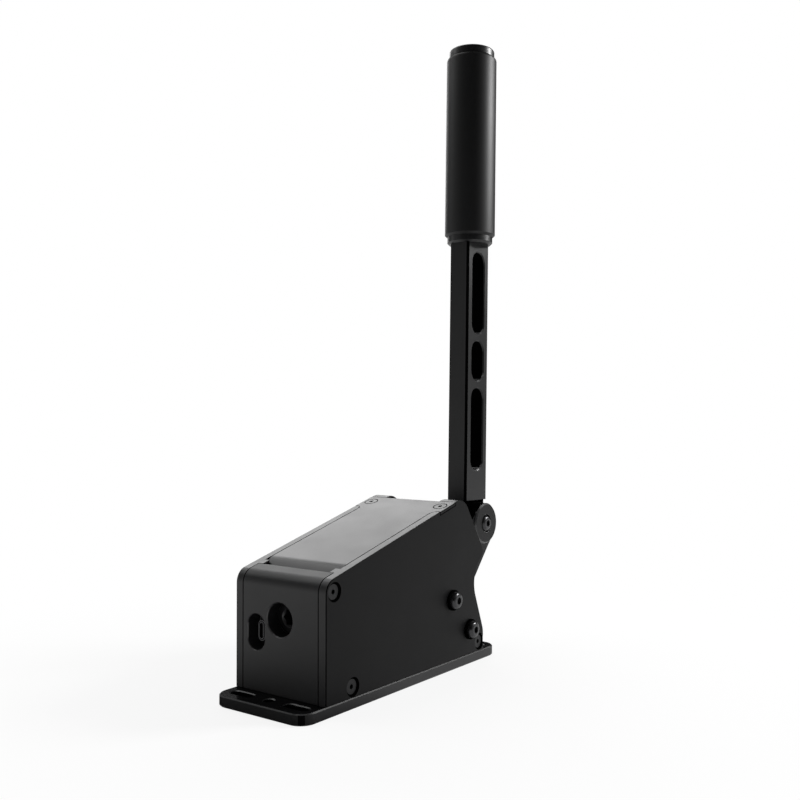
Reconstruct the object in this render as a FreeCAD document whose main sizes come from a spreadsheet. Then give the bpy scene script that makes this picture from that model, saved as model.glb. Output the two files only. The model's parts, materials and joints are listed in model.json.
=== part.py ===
import FreeCAD, Part
import math
import os
import re
import Sketcher

# Sim racing handbrake: a base plate and two thick side plates make an open-backed
# housing. Two crank arms swing on a shaft between the plates and carry a tall slotted
# lever. A pin in the arms pushes a rod forward into rubber pucks and a load cell.
# Sketches use Y from the housing's front face and Z from the underside, in millimetres.

SIZES = [
    # base plate
    ("BodyWidth", 65), ("BaseLength", 185.4), ("BaseThick", 6), ("BaseCornerRadius", 9),
    ("BaseChamfer", 0.6), ("SlotSpacing", 39), ("SlotLength", 16), ("SlotWidth", 6),
    ("SlotInset", 9.5), ("MouthBevel", 0.5),
    # side plates, with rear features measured from the plates' rear end
    ("PlateThick", 12), ("PlateLength", 151), ("FrontHeight", 68.8), ("Slope", 15.07),
    ("CornerRadius", 8), ("HumpInset", 22.1), ("HumpRadius", 11.2), ("NoseReach", 1.4),
    ("NoseZ", 67), ("NoseRadius", 5), ("WaistInset", 13.9), ("WaistZ", 54.1),
    ("WaistRadius", 18.5), ("HeelZ", 18.7), ("HeelRadius", 15), ("EdgeChamfer", 0.4),
    ("LipWidth", 5.3), ("Seam", 0.12), ("WingRound", 4), ("TabClear", 2), ("BendClear", 3),
    # front plate, its hole measured down from the top edge and the port from the hole
    ("FrontThick", 12), ("RodDrop", 22.8), ("AdjustRadius", 9), ("PortDrop", 8.4),
    ("PortWall", 1.93), ("PortHeight", 19), ("PortDepth", 9), ("WindowWidth", 5.8),
    ("WindowHeight", 12),
    # top cover
    ("CoverThick", 2), ("TabLength", 5.3), ("TabInset", 3.2), ("BendRadius", 15),
    ("BendDrop", 14), ("NoseGap", 0.4), ("WingInset", 31.7), ("WingLength", 16.5),
    ("CoverScrewInset", 7.9),
    # screws
    ("ScrewRadius", 2), ("ScrewHead", 4), ("HeadSink", 1.1), ("BoltRadius", 3),
    ("BoltHead", 5.25), ("BoltHeadHeight", 3.3), ("WasherRadius", 6.2), ("WasherThick", 1.2),
    ("HoleGap", 0.1), ("UpperScrewY", 6.6), ("UpperScrewDrop", 5.4), ("FrontBarY", 21.4),
    ("RearBarInset", 5), ("BarZ", 11.7), ("FrontBarRadius", 5), ("RearBarRadius", 4.5),
    ("FrontFootY", 38), ("RearFootInset", 25), ("SmallScrewRadius", 2),
    ("SmallScrewHead", 3.9), ("BoltDome", 2.4), ("BoltKey", 2.31), ("BoltKeyDepth", 2),
    ("KeyShare", 0.72), ("KeyDepthShare", 0.75), ("SideThread", 8), ("UpperThread", 9),
    ("FootThread", 10), ("BoltThread", 9.5), ("CoverScrewLength", 12), ("TipGap", 1),
    ("FitGap", 0.02),
    # pivot, and the guide block measured forward from it
    ("PivotInset", 15.6), ("PivotZ", 21.3), ("ShaftRadius", 5), ("PivotBushRadius", 6),
    ("BushFlange", 1), ("FlangeWidth", 1.5), ("SpacerRadius", 8), ("RunGap", 0.05),
    ("BlockLead", 19.1), ("BlockBoltDrop", 3.9), ("BlockThick", 10), ("BlockHeight", 26),
    ("BushRadius", 7),
    # crank arms, measured back from the pivot
    ("ArmInner", 5), ("ArmOuter", 14.3), ("EarFace", 15.8), ("EarReach", 47), ("EarZ", 81.2),
    ("EarRadius", 13.5), ("EarChamfer", 1), ("PivotBoss", 9), ("PinReach", 2.6),
    ("PinBoss", 7.5), ("PinRadius", 4), ("EarRecess", 6), ("EarSink", 2), ("TieReach", 24.6),
    ("TieZ", 62.5), ("TieRadius", 5), ("PinProud", 1.6), ("ClipWidth", 2),
    ("ClipThick", 0.8), ("PinSlack", 0.06),
    # push rod, pucks and load cell
    ("RodRadius", 5), ("EyeRadius", 7.9), ("EyeHalf", 4.7), ("EyeSlack", 0.5), ("EyeNeck", 2),
    ("CollarRadius", 13), ("CollarThick", 5), ("PuckRadius", 13), ("PuckWasher", 1.2),
    ("StackGap", 0.1), ("CupRadius", 15), ("CupThick", 14), ("CupBore", 11), ("RodTip", 2),
    ("CellRadius", 15), ("CellThick", 14), ("ButtonRadius", 5), ("ButtonHeight", 2),
    ("SpigotLength", 4.5), ("PuckBoreGap", 0.4), ("WasherRim", 0.6), ("ScrewRecess", 7.5),
    ("ScrewLength", 17.4), ("ScrewLand", 8.92), ("ScrewBevel", 0.8), ("KeyRadius", 4.6),
    ("KeyDepth", 8), ("KeyBevel", 0.6),
    # lever and grip, measured up from the ear axis along the lever
    ("LeverLean", 1.3), ("LeverHalf", 7.5), ("LeverDepth", 26.8), ("LeverFoot", 15.2),
    ("LeverTop", 189.1), ("LeverChamfer", 1.4), ("TongueGap", 0.1), ("LightSlotWidth", 14.6),
    ("LongSlot", 55.6), ("ShortSlot", 27), ("SlotWeb", 4.9), ("TopMargin", 5.8),
    ("SlotBevel", 0.8), ("GripCollar", 15.4), ("GripCollarThick", 5.2), ("GripRadius", 17.1),
    ("GripLength", 123.9), ("GripShoulder", 2.4), ("CoreRadius", 11), ("CapRadius", 15.5),
    ("CapThick", 5.3), ("CapRound", 1.4), ("CollarBevel", 1.4), ("SleeveBevel", 1.5),
    ("CoreSeat", 30), ("CoreSocket", 7.2), ("PlugLength", 8), ("GripBoltRadius", 4),
    ("GripBoltHead", 6.5), ("GripBoltHeadHeight", 8), ("GripBoltReach", 5),
    # circuit board and port
    ("BoardThick", 1.6), ("BoardFront", 13.5), ("BoardLength", 52), ("BoardDrop", 13.6),
    ("BoardHeight", 30), ("UsbThick", 3.3), ("UsbHeight", 9), ("UsbFront", 4), ("UsbWall", 0.4),
    ("UsbRear", 5), ("UsbMouth", 6), ("SleeveWall", 0.9), ("SleeveInset", 0.3),
    ("TongueThick", 0.7), ("TongueHeight", 6.4), ("TongueInset", 1),
    ("BoardScrewRadius", 1.5), ("BoardHead", 2.7), ("BoardHeadHeight", 1.8),
    ("BoardKey", 1.4), ("BoardThread", 5), ("BoardHoleInset", 6), ("BoardHolePitch", 12),
]

HALF = "BodyWidth/2"
INNER = "BodyWidth/2 - PlateThick"
LEDGE = "BodyWidth/2 - LipWidth"
FACE_Y = "-PlateLength/2"
HUMP_Y = "PlateLength - HumpInset"
NOSE_Y = "PlateLength + NoseReach"
WAIST_Y = "PlateLength - WaistInset"
WING_REAR = "PlateLength - WingInset"
WING_FRONT = WING_REAR + " - WingLength"
COVER_SCREW_Y = WING_REAR + " - CoverScrewInset"
REAR_FOOT_Y = "PlateLength - RearFootInset"
PIVOT_Y = "PlateLength - PivotInset"
BLOCK_Y = PIVOT_Y + " - BlockLead"
PIN_Y = PIVOT_Y + " + PinReach"
TIE_Y = PIVOT_Y + " + TieReach"
EAR_Y = PIVOT_Y + " + EarReach"
ROD_Z = "(FrontHeight - RodDrop)"
PORT_Z = ROD_Z + " - PortDrop"
BOARD_LOW = PORT_Z + " - BoardDrop"
BLOCK_BOLT_Z = ROD_Z + " - BlockBoltDrop"
ABOVE = "FrontHeight + PlateLength*tan(Slope) + PlateThick"
# cutting shapes run this far past the material, and joined ones reach this far into it
PAST = 1
CLOSE = 0.02
PARALLEL = 0.9999
MOUTH_TAPER = -45
HALF_TURN = 180
FULL_TURN = 360
TURN_Y = FreeCAD.Rotation(FreeCAD.Vector(0, 1, 0), 90)
TURN_BACK = FreeCAD.Rotation(FreeCAD.Vector(0, 1, 0), -90)
TURN_OVER = FreeCAD.Rotation(FreeCAD.Vector(1, 0, 0), HALF_TURN)
TURN_ALONG = FreeCAD.Rotation(FreeCAD.Vector(1, 0, 0), -90)

doc = FreeCAD.newDocument("Handbrake")
sheet = doc.addObject("Spreadsheet::Sheet", "Sizes")
for row, (alias, value) in enumerate(SIZES, 1):
    sheet.set("A%d" % row, alias)
    sheet.set("B%d" % row, str(value))
    sheet.setAlias("B%d" % row, alias)
doc.recompute()
nodes = []


def scoped(text):
    return re.sub(r"\b([A-Z][A-Za-z]+)\b", r"Sizes.\1", text)


def number(text):
    return float(sheet.evalExpression(text))


def bind(item, prop, text):
    item.setExpression(prop, scoped(text))


def slope_z(y, drop="0"):
    # height of the sloping top edge above the underside at a given Y
    return "FrontHeight + (%s)*tan(Slope) - (%s)" % (y, drop)


def as_node(item, label, x="0", y=FACE_Y, z="0", turn=None):
    item.Label = label
    if turn is not None:
        item.Placement = FreeCAD.Placement(FreeCAD.Vector(), turn)
    bind(item, "Placement.Base.x", x)
    bind(item, "Placement.Base.y", y)
    bind(item, "Placement.Base.z", z)
    nodes.append(item)


def on_lever(item, label):
    # parts of the lever stand in a frame at the ear axis that leans back a little
    as_node(item, label, "0", f"{FACE_Y} + {EAR_Y}", "EarZ")
    item.Placement.Rotation = FreeCAD.Rotation(FreeCAD.Vector(-1, 0, 0), number("LeverLean"))
    bind(item, "Placement.Rotation.Angle", "LeverLean")


def new_body(name):
    return doc.addObject("PartDesign::Body", name + "_body")


def new_sketch(body, role, offset="0"):
    sketch = body.newObject("Sketcher::SketchObject", body.Name + "_sketch")
    plane = [item for item in body.Origin.OriginFeatures if item.Role == role][0]
    sketch.AttachmentSupport = (plane, [""])
    sketch.MapMode = "FlatFace"
    bind(sketch, "AttachmentOffset.Base.z", offset)
    return sketch


def pin_point(sketch, geometry, end, x, y):
    # ties one point of a curve to the sheet by its two coordinates
    for kind, text in (("DistanceX", x), ("DistanceY", y)):
        index = sketch.addConstraint(Sketcher.Constraint(kind, -1, 1, geometry, end, number(text)))
        bind(sketch, "Constraints[%d]" % index, text)


def set_radius(sketch, geometry, text):
    index = sketch.addConstraint(Sketcher.Constraint("Radius", geometry, number(text)))
    bind(sketch, "Constraints[%d]" % index, text)


def outline(sketch, corners):
    # closed polygon with every corner tied to the sheet
    first = sketch.GeometryCount
    count = len(corners)
    spots = [FreeCAD.Vector(number(x), number(y), 0) for x, y in corners]
    for k in range(count):
        sketch.addGeometry(Part.LineSegment(spots[k], spots[(k + 1) % count]), False)
    for k in range(count):
        joined = first + (k + 1) % count
        sketch.addConstraint(Sketcher.Constraint("Coincident", first + k, 2, joined, 1))
        pin_point(sketch, first + k, 1, *corners[k])


def rectangle(sketch, x_low, y_low, x_high, y_high):
    outline(sketch, [(x_low, y_low), (x_high, y_low), (x_high, y_high), (x_low, y_high)])


def circle(sketch, x, y, radius):
    place = FreeCAD.Vector(number(x), number(y), 0)
    round_line = Part.Circle(place, FreeCAD.Vector(0, 0, 1), number(radius))
    index = sketch.addGeometry(round_line, False)
    pin_point(sketch, index, 3, x, y)
    set_radius(sketch, index, radius)


def belt(sketch, discs):
    # outline drawn tight round discs listed counter-clockwise: arcs joined by tangents
    first = sketch.GeometryCount
    count = len(discs)
    centres = [FreeCAD.Vector(number(x), number(y), 0) for x, y, _ in discs]
    radii = [number(radius) for _, _, radius in discs]
    normals = []
    for k in range(count):
        run = centres[(k + 1) % count] - centres[k]
        along = FreeCAD.Vector(run).normalize()
        lean = (radii[k] - radii[(k + 1) % count]) / run.Length
        side = FreeCAD.Vector(along.y, -along.x, 0)
        normals.append(along * lean + side * math.sqrt(1 - lean * lean))
    for k in range(count):
        after = (k + 1) % count
        begin = math.atan2(normals[k - 1].y, normals[k - 1].x)
        finish = math.atan2(normals[k].y, normals[k].x)
        disc = Part.Circle(centres[k], FreeCAD.Vector(0, 0, 1), radii[k])
        sketch.addGeometry(Part.ArcOfCircle(disc, begin, finish), False)
        start = centres[k] + normals[k] * radii[k]
        end = centres[after] + normals[k] * radii[after]
        sketch.addGeometry(Part.LineSegment(start, end), False)
    for k in range(count):
        arc = first + 2 * k
        following = first + 2 * ((k + 1) % count)
        sketch.addConstraint(Sketcher.Constraint("Tangent", arc, 2, arc + 1, 1))
        sketch.addConstraint(Sketcher.Constraint("Tangent", arc + 1, 2, following, 1))
    for k in range(count):
        pin_point(sketch, first + 2 * k, 3, discs[k][0], discs[k][1])
        set_radius(sketch, first + 2 * k, discs[k][2])


def pad(body, sketch, length, symmetric=False):
    item = body.newObject("PartDesign::Pad", body.Name + "_pad")
    item.Profile = sketch
    if symmetric:
        item.SideType = "Symmetric"
    bind(item, "Length", length)
    doc.recompute()


def pocket(body, sketch, length, flip=False):
    before = body.Shape.Volume
    item = body.newObject("PartDesign::Pocket", body.Name + "_pocket")
    item.Profile = sketch
    item.Reversed = flip
    bind(item, "Length", length)
    doc.recompute()
    if item.Shape.Volume > before - CLOSE:
        raise ValueError("pocket removed nothing in " + body.Name)
    return item


def edges_along(item, axis, spots):
    # names of the straight edges parallel to an axis that pass through the given spots
    names = []
    for k, edge in enumerate(item.Shape.Edges, 1):
        if edge.Curve.TypeId != "Part::GeomLine":
            continue
        if abs(edge.tangentAt(edge.FirstParameter)[axis]) < PARALLEL:
            continue
        point = edge.CenterOfMass
        flat = [point[j] for j in range(3) if j != axis]
        if any(abs(flat[0] - a) < CLOSE and abs(flat[1] - b) < CLOSE for a, b in spots):
            names.append("Edge%d" % k)
    return names


def round_edges(body, axis, spots, radius):
    base = body.Tip
    values = [(number(a), number(b)) for a, b in spots]
    item = body.newObject("PartDesign::Fillet", body.Name + "_fillet")
    item.Base = (base, edges_along(base, axis, values))
    bind(item, "Radius", radius)
    doc.recompute()


def chamfer_face(body, pick, size):
    # chamfers every edge of the faces for which pick(face) is true
    base = body.Tip
    names = []
    for k, face in enumerate(base.Shape.Faces, 1):
        if pick(face):
            names.append("Face%d" % k)
    item = body.newObject("PartDesign::Chamfer", body.Name + "_chamfer")
    item.Base = (base, names)
    bind(item, "Size", size)
    doc.recompute()


def cylinder(name, radius, length, x="0", y="0", z="0", turn=None):
    item = doc.addObject("Part::Cylinder", name)
    if turn is not None:
        item.Placement = FreeCAD.Placement(FreeCAD.Vector(), turn)
    bind(item, "Radius", radius)
    bind(item, "Height", length)
    for axis, text in (("x", x), ("y", y), ("z", z)):
        bind(item, "Placement.Base." + axis, text)
    return item


def cut(name, base, tools):
    item = doc.addObject("Part::Cut", name)
    item.Base = base
    if len(tools) == 1:
        item.Tool = tools[0]
    else:
        joined = doc.addObject("Part::MultiFuse", name + "_tools")
        joined.Shapes = tools
        item.Tool = joined
    doc.recompute()
    return item


def fuse(name, parts):
    item = doc.addObject("Part::MultiFuse", name)
    item.Shapes = parts
    doc.recompute()
    return item


def hex_socket(name, radius, depth):
    item = doc.addObject("Part::Prism", name)
    item.Polygon = 6
    bind(item, "Circumradius", radius)
    bind(item, "Height", f"{depth} + {PAST}")
    bind(item, "Placement.Base.z", "-(%s)" % depth)
    return item


def flat_screw(name, radius, head, length):
    # countersunk screw on the Z axis with its flat head's top at the origin
    cone = doc.addObject("Part::Cone", name + "_head")
    depth = "(%s) - (%s)" % (head, radius)
    bind(cone, "Radius1", radius)
    bind(cone, "Radius2", head)
    bind(cone, "Height", depth)
    bind(cone, "Placement.Base.z", "-(%s)" % depth)
    shank = cylinder(name + "_shank", radius, "(%s) - (%s)" % (length, depth), z="-(%s)" % length)
    whole = fuse(name + "_blank", [cone, shank])
    socket = hex_socket(name + "_socket", "(%s)*KeyShare" % radius, "(%s)*KeyDepthShare" % depth)
    return cut(name, whole, [socket])


def button_bolt(name, length):
    # button-head bolt on the Z axis with the underside of its head at the origin
    high = "BoltHeadHeight"
    head = turned(name + "_head", [("0", "0"), ("BoltHead", "0"), ("BoltHead", high), ("0", high)])
    soften_rim(head, "BoltHead", high, "BoltDome")
    shank = cylinder(name + "_shank", "BoltRadius", f"({length}) + {PAST}", z="-(%s)" % length)
    whole = fuse(name + "_blank", [head, shank])
    socket = hex_socket(name + "_socket", "BoltKey", "BoltKeyDepth")
    bind(socket, "Placement.Base.z", "BoltHeadHeight - BoltKeyDepth")
    return cut(name, whole, [socket])


def ring(name, outer, inner, length):
    # plain ring on the Z axis standing on the origin
    hole = cylinder(name + "_hole", inner, f"({length}) + {2 * PAST}", z=f"-{PAST}")
    return cut(name, cylinder(name + "_disc", outer, length), [hole])


def copies(label, template, places):
    # separate solids of one shape at several places, kept as one sub-part
    links = []
    for x, y, z, turn in places:
        link = doc.addObject("App::Link", label + "_copy")
        link.LinkedObject = template
        link.Placement = FreeCAD.Placement(FreeCAD.Vector(), turn)
        for axis, text in (("x", x), ("y", y), ("z", z)):
            bind(link, "Placement.Base." + axis, text)
        links.append(link)
    group = doc.addObject("Part::Compound", label + "_group")
    group.Links = links
    return group


def mirrored_places(x, spots):
    # the same spots on the right and left sides, heads outward
    right = [(x, y, z, TURN_Y) for y, z in spots]
    left = [("-(%s)" % x, y, z, TURN_BACK) for y, z in spots]
    return right + left


def side_bar_hole(name, radius, depth, y, z, side, face):
    # hole of a given depth that runs inward along X from an end face
    turn = TURN_BACK if side > 0 else TURN_Y
    sign = "" if side > 0 else "-"
    return cylinder(name, radius, f"{depth} + {PAST}", f"{sign}({face} + {PAST})", y, z, turn)


def bolt_taps(name, y, z, face):
    # threaded holes for the two side bolts that meet one bar or block
    depth = "BoltThread + TipGap"
    return [side_bar_hole(name + "_tap%d" % k, "BoltRadius + HoleGap", depth, y, z, side, face)
            for k, side in enumerate((1, -1))]


def rim_names(item, radius, height):
    # names of the circular edges of one radius at one height on the Z axis
    names = []
    for k, edge in enumerate(item.Shape.Edges, 1):
        if edge.Curve.TypeId == "Part::GeomCircle":
            same = abs(edge.Curve.Radius - number(radius)) < CLOSE
            if same and abs(edge.Curve.Center.z - number(height)) < CLOSE:
                names.append("Edge%d" % k)
    return names


def soften_rim(body, radius, height, size):
    base = body.Tip
    item = body.newObject("PartDesign::Fillet", body.Name + "_rim")
    item.Base = (base, rim_names(base, radius, height))
    bind(item, "Radius", size)
    doc.recompute()


def flare(body, sketch, depth, flip=False):
    # shallow pocket whose walls lean in, for the bevelled mouth of a hole or slot
    item = pocket(body, sketch, depth, flip=flip)
    item.TaperAngle = MOUTH_TAPER
    doc.recompute()


def chamfer_edges(body, axis, spots, size):
    base = body.Tip
    values = [(number(a), number(b)) for a, b in spots]
    item = body.newObject("PartDesign::Chamfer", body.Name + "_chamfer")
    item.Base = (base, edges_along(base, axis, values))
    bind(item, "Size", size)
    doc.recompute()


def turned(name, corners):
    # body of revolution about Z from a closed outline of radius and height
    body = new_body(name)
    sketch = new_sketch(body, "XZ_Plane")
    outline(sketch, corners)
    item = body.newObject("PartDesign::Revolution", name + "_revolution")
    item.Profile = sketch
    item.ReferenceAxis = (sketch, ["V_Axis"])
    item.Angle = FULL_TURN
    doc.recompute()
    return body


def sink_cutter(name, radius, head, length, sink="0"):
    # tool for a countersunk hole: its mouth is at the origin and it runs down Z
    wide = "(%s) + HoleGap + %s" % (head, sink)
    thin = "(%s) + HoleGap" % radius
    depth = "(%s) - (%s) + %s" % (head, radius, sink)
    cone = doc.addObject("Part::Cone", name + "_cone")
    bind(cone, "Radius1", thin)
    bind(cone, "Radius2", wide)
    bind(cone, "Height", depth)
    bind(cone, "Placement.Base.z", "-(%s)" % depth)
    mouth = cylinder(name + "_mouth", wide, str(PAST))
    bore = cylinder(name + "_bore", thin, length, z="-(%s)" % length)
    return fuse(name, [cone, mouth, bore])


REAR_BAR_Y = "PlateLength - RearBarInset"
UPPER_SCREW_Z = "FrontHeight - UpperScrewDrop"
SIDE_SCREWS = [("UpperScrewY", UPPER_SCREW_Z), ("FrontBarY", "BarZ"), (REAR_BAR_Y, "BarZ")]
SIDE_BOLTS = [(BLOCK_Y, BLOCK_BOLT_Z), (PIVOT_Y, "PivotZ")]
PLATE_MIDDLE = "BodyWidth/2 - PlateThick/2"
COVER_DROP = "CoverThick/cos(Slope)"
FRONT_PLATE_BACK = "FrontThick + Seam"
WIDE_FRONT = "FrontThick + TabLength"
BLOCK_FRONT = BLOCK_Y + " - BlockThick/2"
COLLAR_BACK = BLOCK_FRONT + " - 2*StackGap"
# the three equal pucks share the room that the other parts and their ten gaps leave
STACK_PARTS = "CollarThick + 2*PuckWasher + CupThick + ButtonHeight + CellThick + ScrewLength"
STACK_GAPS = "10*StackGap"
PUCK_THICK = "(%s - ScrewRecess - (%s) - %s)/3" % (BLOCK_FRONT, STACK_PARTS, STACK_GAPS)
HARD_BACK = "%s - CollarThick - StackGap" % COLLAR_BACK
REAR_WASHER = "%s - %s - StackGap" % (HARD_BACK, PUCK_THICK)
MEDIUM_BACK = "%s - PuckWasher - StackGap" % REAR_WASHER
FRONT_WASHER = "%s - %s - StackGap" % (MEDIUM_BACK, PUCK_THICK)
SOFT_BACK = "%s - PuckWasher - StackGap" % FRONT_WASHER
CUP_BACK = "%s - %s - StackGap" % (SOFT_BACK, PUCK_THICK)
BUTTON_BACK = "%s - CupThick - StackGap" % CUP_BACK
CELL_BACK = "%s - ButtonHeight" % BUTTON_BACK
CELL_FRONT = "%s - CellThick" % CELL_BACK
BOARD_X = "BodyWidth/2 - PlateThick - Seam"
PORT_X = BOARD_X + " - BoardThick - UsbThick/2"
PORT_WIDTH = "2*(%s - AdjustRadius - PortWall)" % PORT_X
BOARD_REAR = "BoardFront + BoardLength - BoardHoleInset"
BOARD_SCREWS = [(BOARD_REAR + " - BoardHolePitch", BOARD_LOW + " + BoardHoleInset"),
                (BOARD_REAR, BOARD_LOW + " + BoardHeight - BoardHoleInset")]
SHAFT_END = INNER + " - Seam"


def base_plate():
    body = new_body("base_plate")
    sketch = new_sketch(body, "XY_Plane")
    rectangle(sketch, "-BodyWidth/2", "-BaseLength/2", "BodyWidth/2", "BaseLength/2")
    pad(body, sketch, "BaseThick")
    corners = [(x + "BodyWidth/2", y + "BaseLength/2") for x in ("", "-") for y in ("", "-")]
    round_edges(body, 2, corners, "BaseCornerRadius")
    for level in (number("BaseThick"), 0):
        chamfer_face(body, lambda face: abs(face.CenterOfMass.z - level) < CLOSE, "BaseChamfer")
    pocket(body, base_slots(body, "SlotWidth/2", str(PAST)), f"BaseThick + {2 * PAST}")
    flare(body, base_slots(body, "SlotWidth/2 + MouthBevel", "0"), "MouthBevel")
    cutter = sink_cutter("base_sink", "ScrewRadius", "ScrewHead", f"BaseThick + {PAST}")
    tools = copies("base_sinks", cutter, base_screw_places())
    plate = cut("base_plate_cut", body, [tools])
    as_node(plate, "base_plate", y="0")


def base_slots(body, radius, lift):
    # sketch of the mounting slots and holes at a height above the base
    sketch = new_sketch(body, "XY_Plane", "BaseThick + " + lift)
    reach = "(SlotLength - SlotWidth)/2"
    for y in ("SlotInset - BaseLength/2", "BaseLength/2 - SlotInset"):
        circle(sketch, "0", y, radius)
        for x in ("SlotSpacing/2", "-SlotSpacing/2"):
            belt(sketch, [(x + " - " + reach, y, radius), (x + " + " + reach, y, radius)])
    return sketch


def base_screw_places():
    # four screws that come up through the base into the side plates
    places = []
    for y in ("FrontFootY", REAR_FOOT_Y):
        for sign in ("", "-"):
            places.append((sign + "(%s)" % PLATE_MIDDLE, "%s + %s" % (FACE_Y, y), "0", TURN_OVER))
    return places


def cut_region(body, corners, high_x, depth):
    # prism cut between two X planes, given its higher plane and its depth
    sketch = new_sketch(body, "YZ_Plane", high_x)
    outline(sketch, corners)
    pocket(body, sketch, depth)


def side_plate(side):
    name = "side_plate_right" if side > 0 else "side_plate_left"
    body = new_body(name)
    sketch = new_sketch(body, "YZ_Plane", INNER if side > 0 else "-BodyWidth/2")
    hump = slope_z(HUMP_Y)
    corners = [("0", "BaseThick"), ("PlateLength", "BaseThick"), ("PlateLength", "HeelZ"),
               (WAIST_Y, "WaistZ"), (NOSE_Y, "NoseZ"), (HUMP_Y, hump), ("0", "FrontHeight")]
    outline(sketch, corners)
    pad(body, sketch, "PlateThick")
    round_edges(body, 0, [("0", "FrontHeight")], "CornerRadius")
    round_edges(body, 0, [(HUMP_Y, hump)], "HumpRadius")
    round_edges(body, 0, [(NOSE_Y, "NoseZ")], "NoseRadius")
    round_edges(body, 0, [(WAIST_Y, "WaistZ")], "WaistRadius")
    round_edges(body, 0, [("PlateLength", "HeelZ")], "HeelRadius")
    face_x = side * number(HALF)
    chamfer_face(body, lambda face: abs(face.CenterOfMass.x - face_x) < CLOSE, "EdgeChamfer")
    ledge = LEDGE if side > 0 else "-(%s)" % INNER
    tab = LEDGE + " - TabInset" if side > 0 else "-(%s)" % INNER
    width = "PlateThick - LipWidth"
    front = [(f"-{PAST}", "0"), (FRONT_PLATE_BACK, "0"), (FRONT_PLATE_BACK, ABOVE), (f"-{PAST}", ABOVE)]
    cut_region(body, front, ledge, width)
    nose_back = FRONT_PLATE_BACK + " + BendRadius"
    nose_low = slope_z("FrontThick", "BendDrop + TabClear")
    nose_start = f"FrontThick - {PAST}"
    nose = [(nose_start, nose_low), (nose_back, nose_low), (nose_back, ABOVE), (nose_start, ABOVE)]
    cut_region(body, nose, tab, "PlateThick - LipWidth - TabInset")
    rear = WING_REAR + " + Seam"
    seat = [(WIDE_FRONT, slope_z(WIDE_FRONT, COVER_DROP)), (rear, slope_z(rear, COVER_DROP)),
            (rear, ABOVE), (WIDE_FRONT, ABOVE)]
    cut_region(body, seat, ledge, width)
    dip = [(WIDE_FRONT, slope_z(WIDE_FRONT, COVER_DROP + " + BendClear")),
           (nose_back, slope_z(nose_back, COVER_DROP)), (nose_back, ABOVE), (WIDE_FRONT, ABOVE)]
    cut_region(body, dip, ledge, width)
    start = WING_FRONT + " - Seam"
    notch = [(start, slope_z(start, COVER_DROP)), (rear, slope_z(rear, COVER_DROP)),
             (rear, ABOVE), (start, ABOVE)]
    notch_x = f"{HALF} + {PAST}" if side > 0 else f"-({LEDGE}) + {PAST}"
    cut_region(body, notch, notch_x, f"LipWidth + {2 * PAST}")
    lip_x = LEDGE if side > 0 else "-(%s)" % LEDGE
    round_edges(body, 2, [(lip_x, start)], "WingRound + Seam")
    tools = []
    turn = TURN_Y if side > 0 else TURN_BACK
    sign = "" if side > 0 else "-"
    screw = sink_cutter(name + "_sink", "ScrewRadius", "ScrewHead", f"PlateThick + {PAST}", "HeadSink")
    outer = sign + "(%s)" % HALF
    tools.append(copies(name + "_sinks", screw, [(outer, y, z, turn) for y, z in SIDE_SCREWS]))
    for k, (y, z) in enumerate(SIDE_BOLTS):
        hole = name + "_bolt%d" % k
        depth = f"PlateThick + {PAST}"
        tools.append(side_bar_hole(hole, "BoltRadius + HoleGap", depth, y, z, side, HALF))
    for k, y in enumerate(("FrontFootY", REAR_FOOT_Y)):
        x = sign + "(%s)" % PLATE_MIDDLE
        depth = f"FootThread + TipGap + {PAST}"
        low = f"BaseThick - {PAST}"
        tools.append(cylinder(name + "_foot%d" % k, "ScrewRadius + HoleGap", depth, x, y, low))
    down = FreeCAD.Rotation(FreeCAD.Vector(1, 0, 0), HALF_TURN + number("Slope"))
    deep = cylinder(name + "_cover_bore", "SmallScrewRadius + HoleGap", "CoverScrewLength + TipGap")
    holes = [(sign + "(%s)" % PLATE_MIDDLE, COVER_SCREW_Y, slope_z(COVER_SCREW_Y), down)]
    tools.append(copies(name + "_cover_holes", deep, holes))
    if side < 0:
        for k, (y, z) in enumerate(BOARD_SCREWS):
            x = "-(%s) - BoardThread - TipGap" % INNER
            depth = f"BoardThread + TipGap + {PAST}"
            tap = name + "_board%d" % k
            tools.append(cylinder(tap, "BoardScrewRadius + HoleGap", depth, x, y, z, TURN_Y))
    as_node(cut(name + "_cut", body, tools), name)


def port_outline(body, width, height, grow, forward):
    # upright obround round the port's centre, this far in front of the plate's face
    sketch = new_sketch(body, "XZ_Plane", str(forward))
    x = "-(%s)" % PORT_X
    reach = "(%s - %s)/2" % (height, width)
    radius = "%s/2 + %s" % (width, grow)
    belt(sketch, [(x, PORT_Z + " - " + reach, radius), (x, PORT_Z + " + " + reach, radius)])
    return sketch


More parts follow.
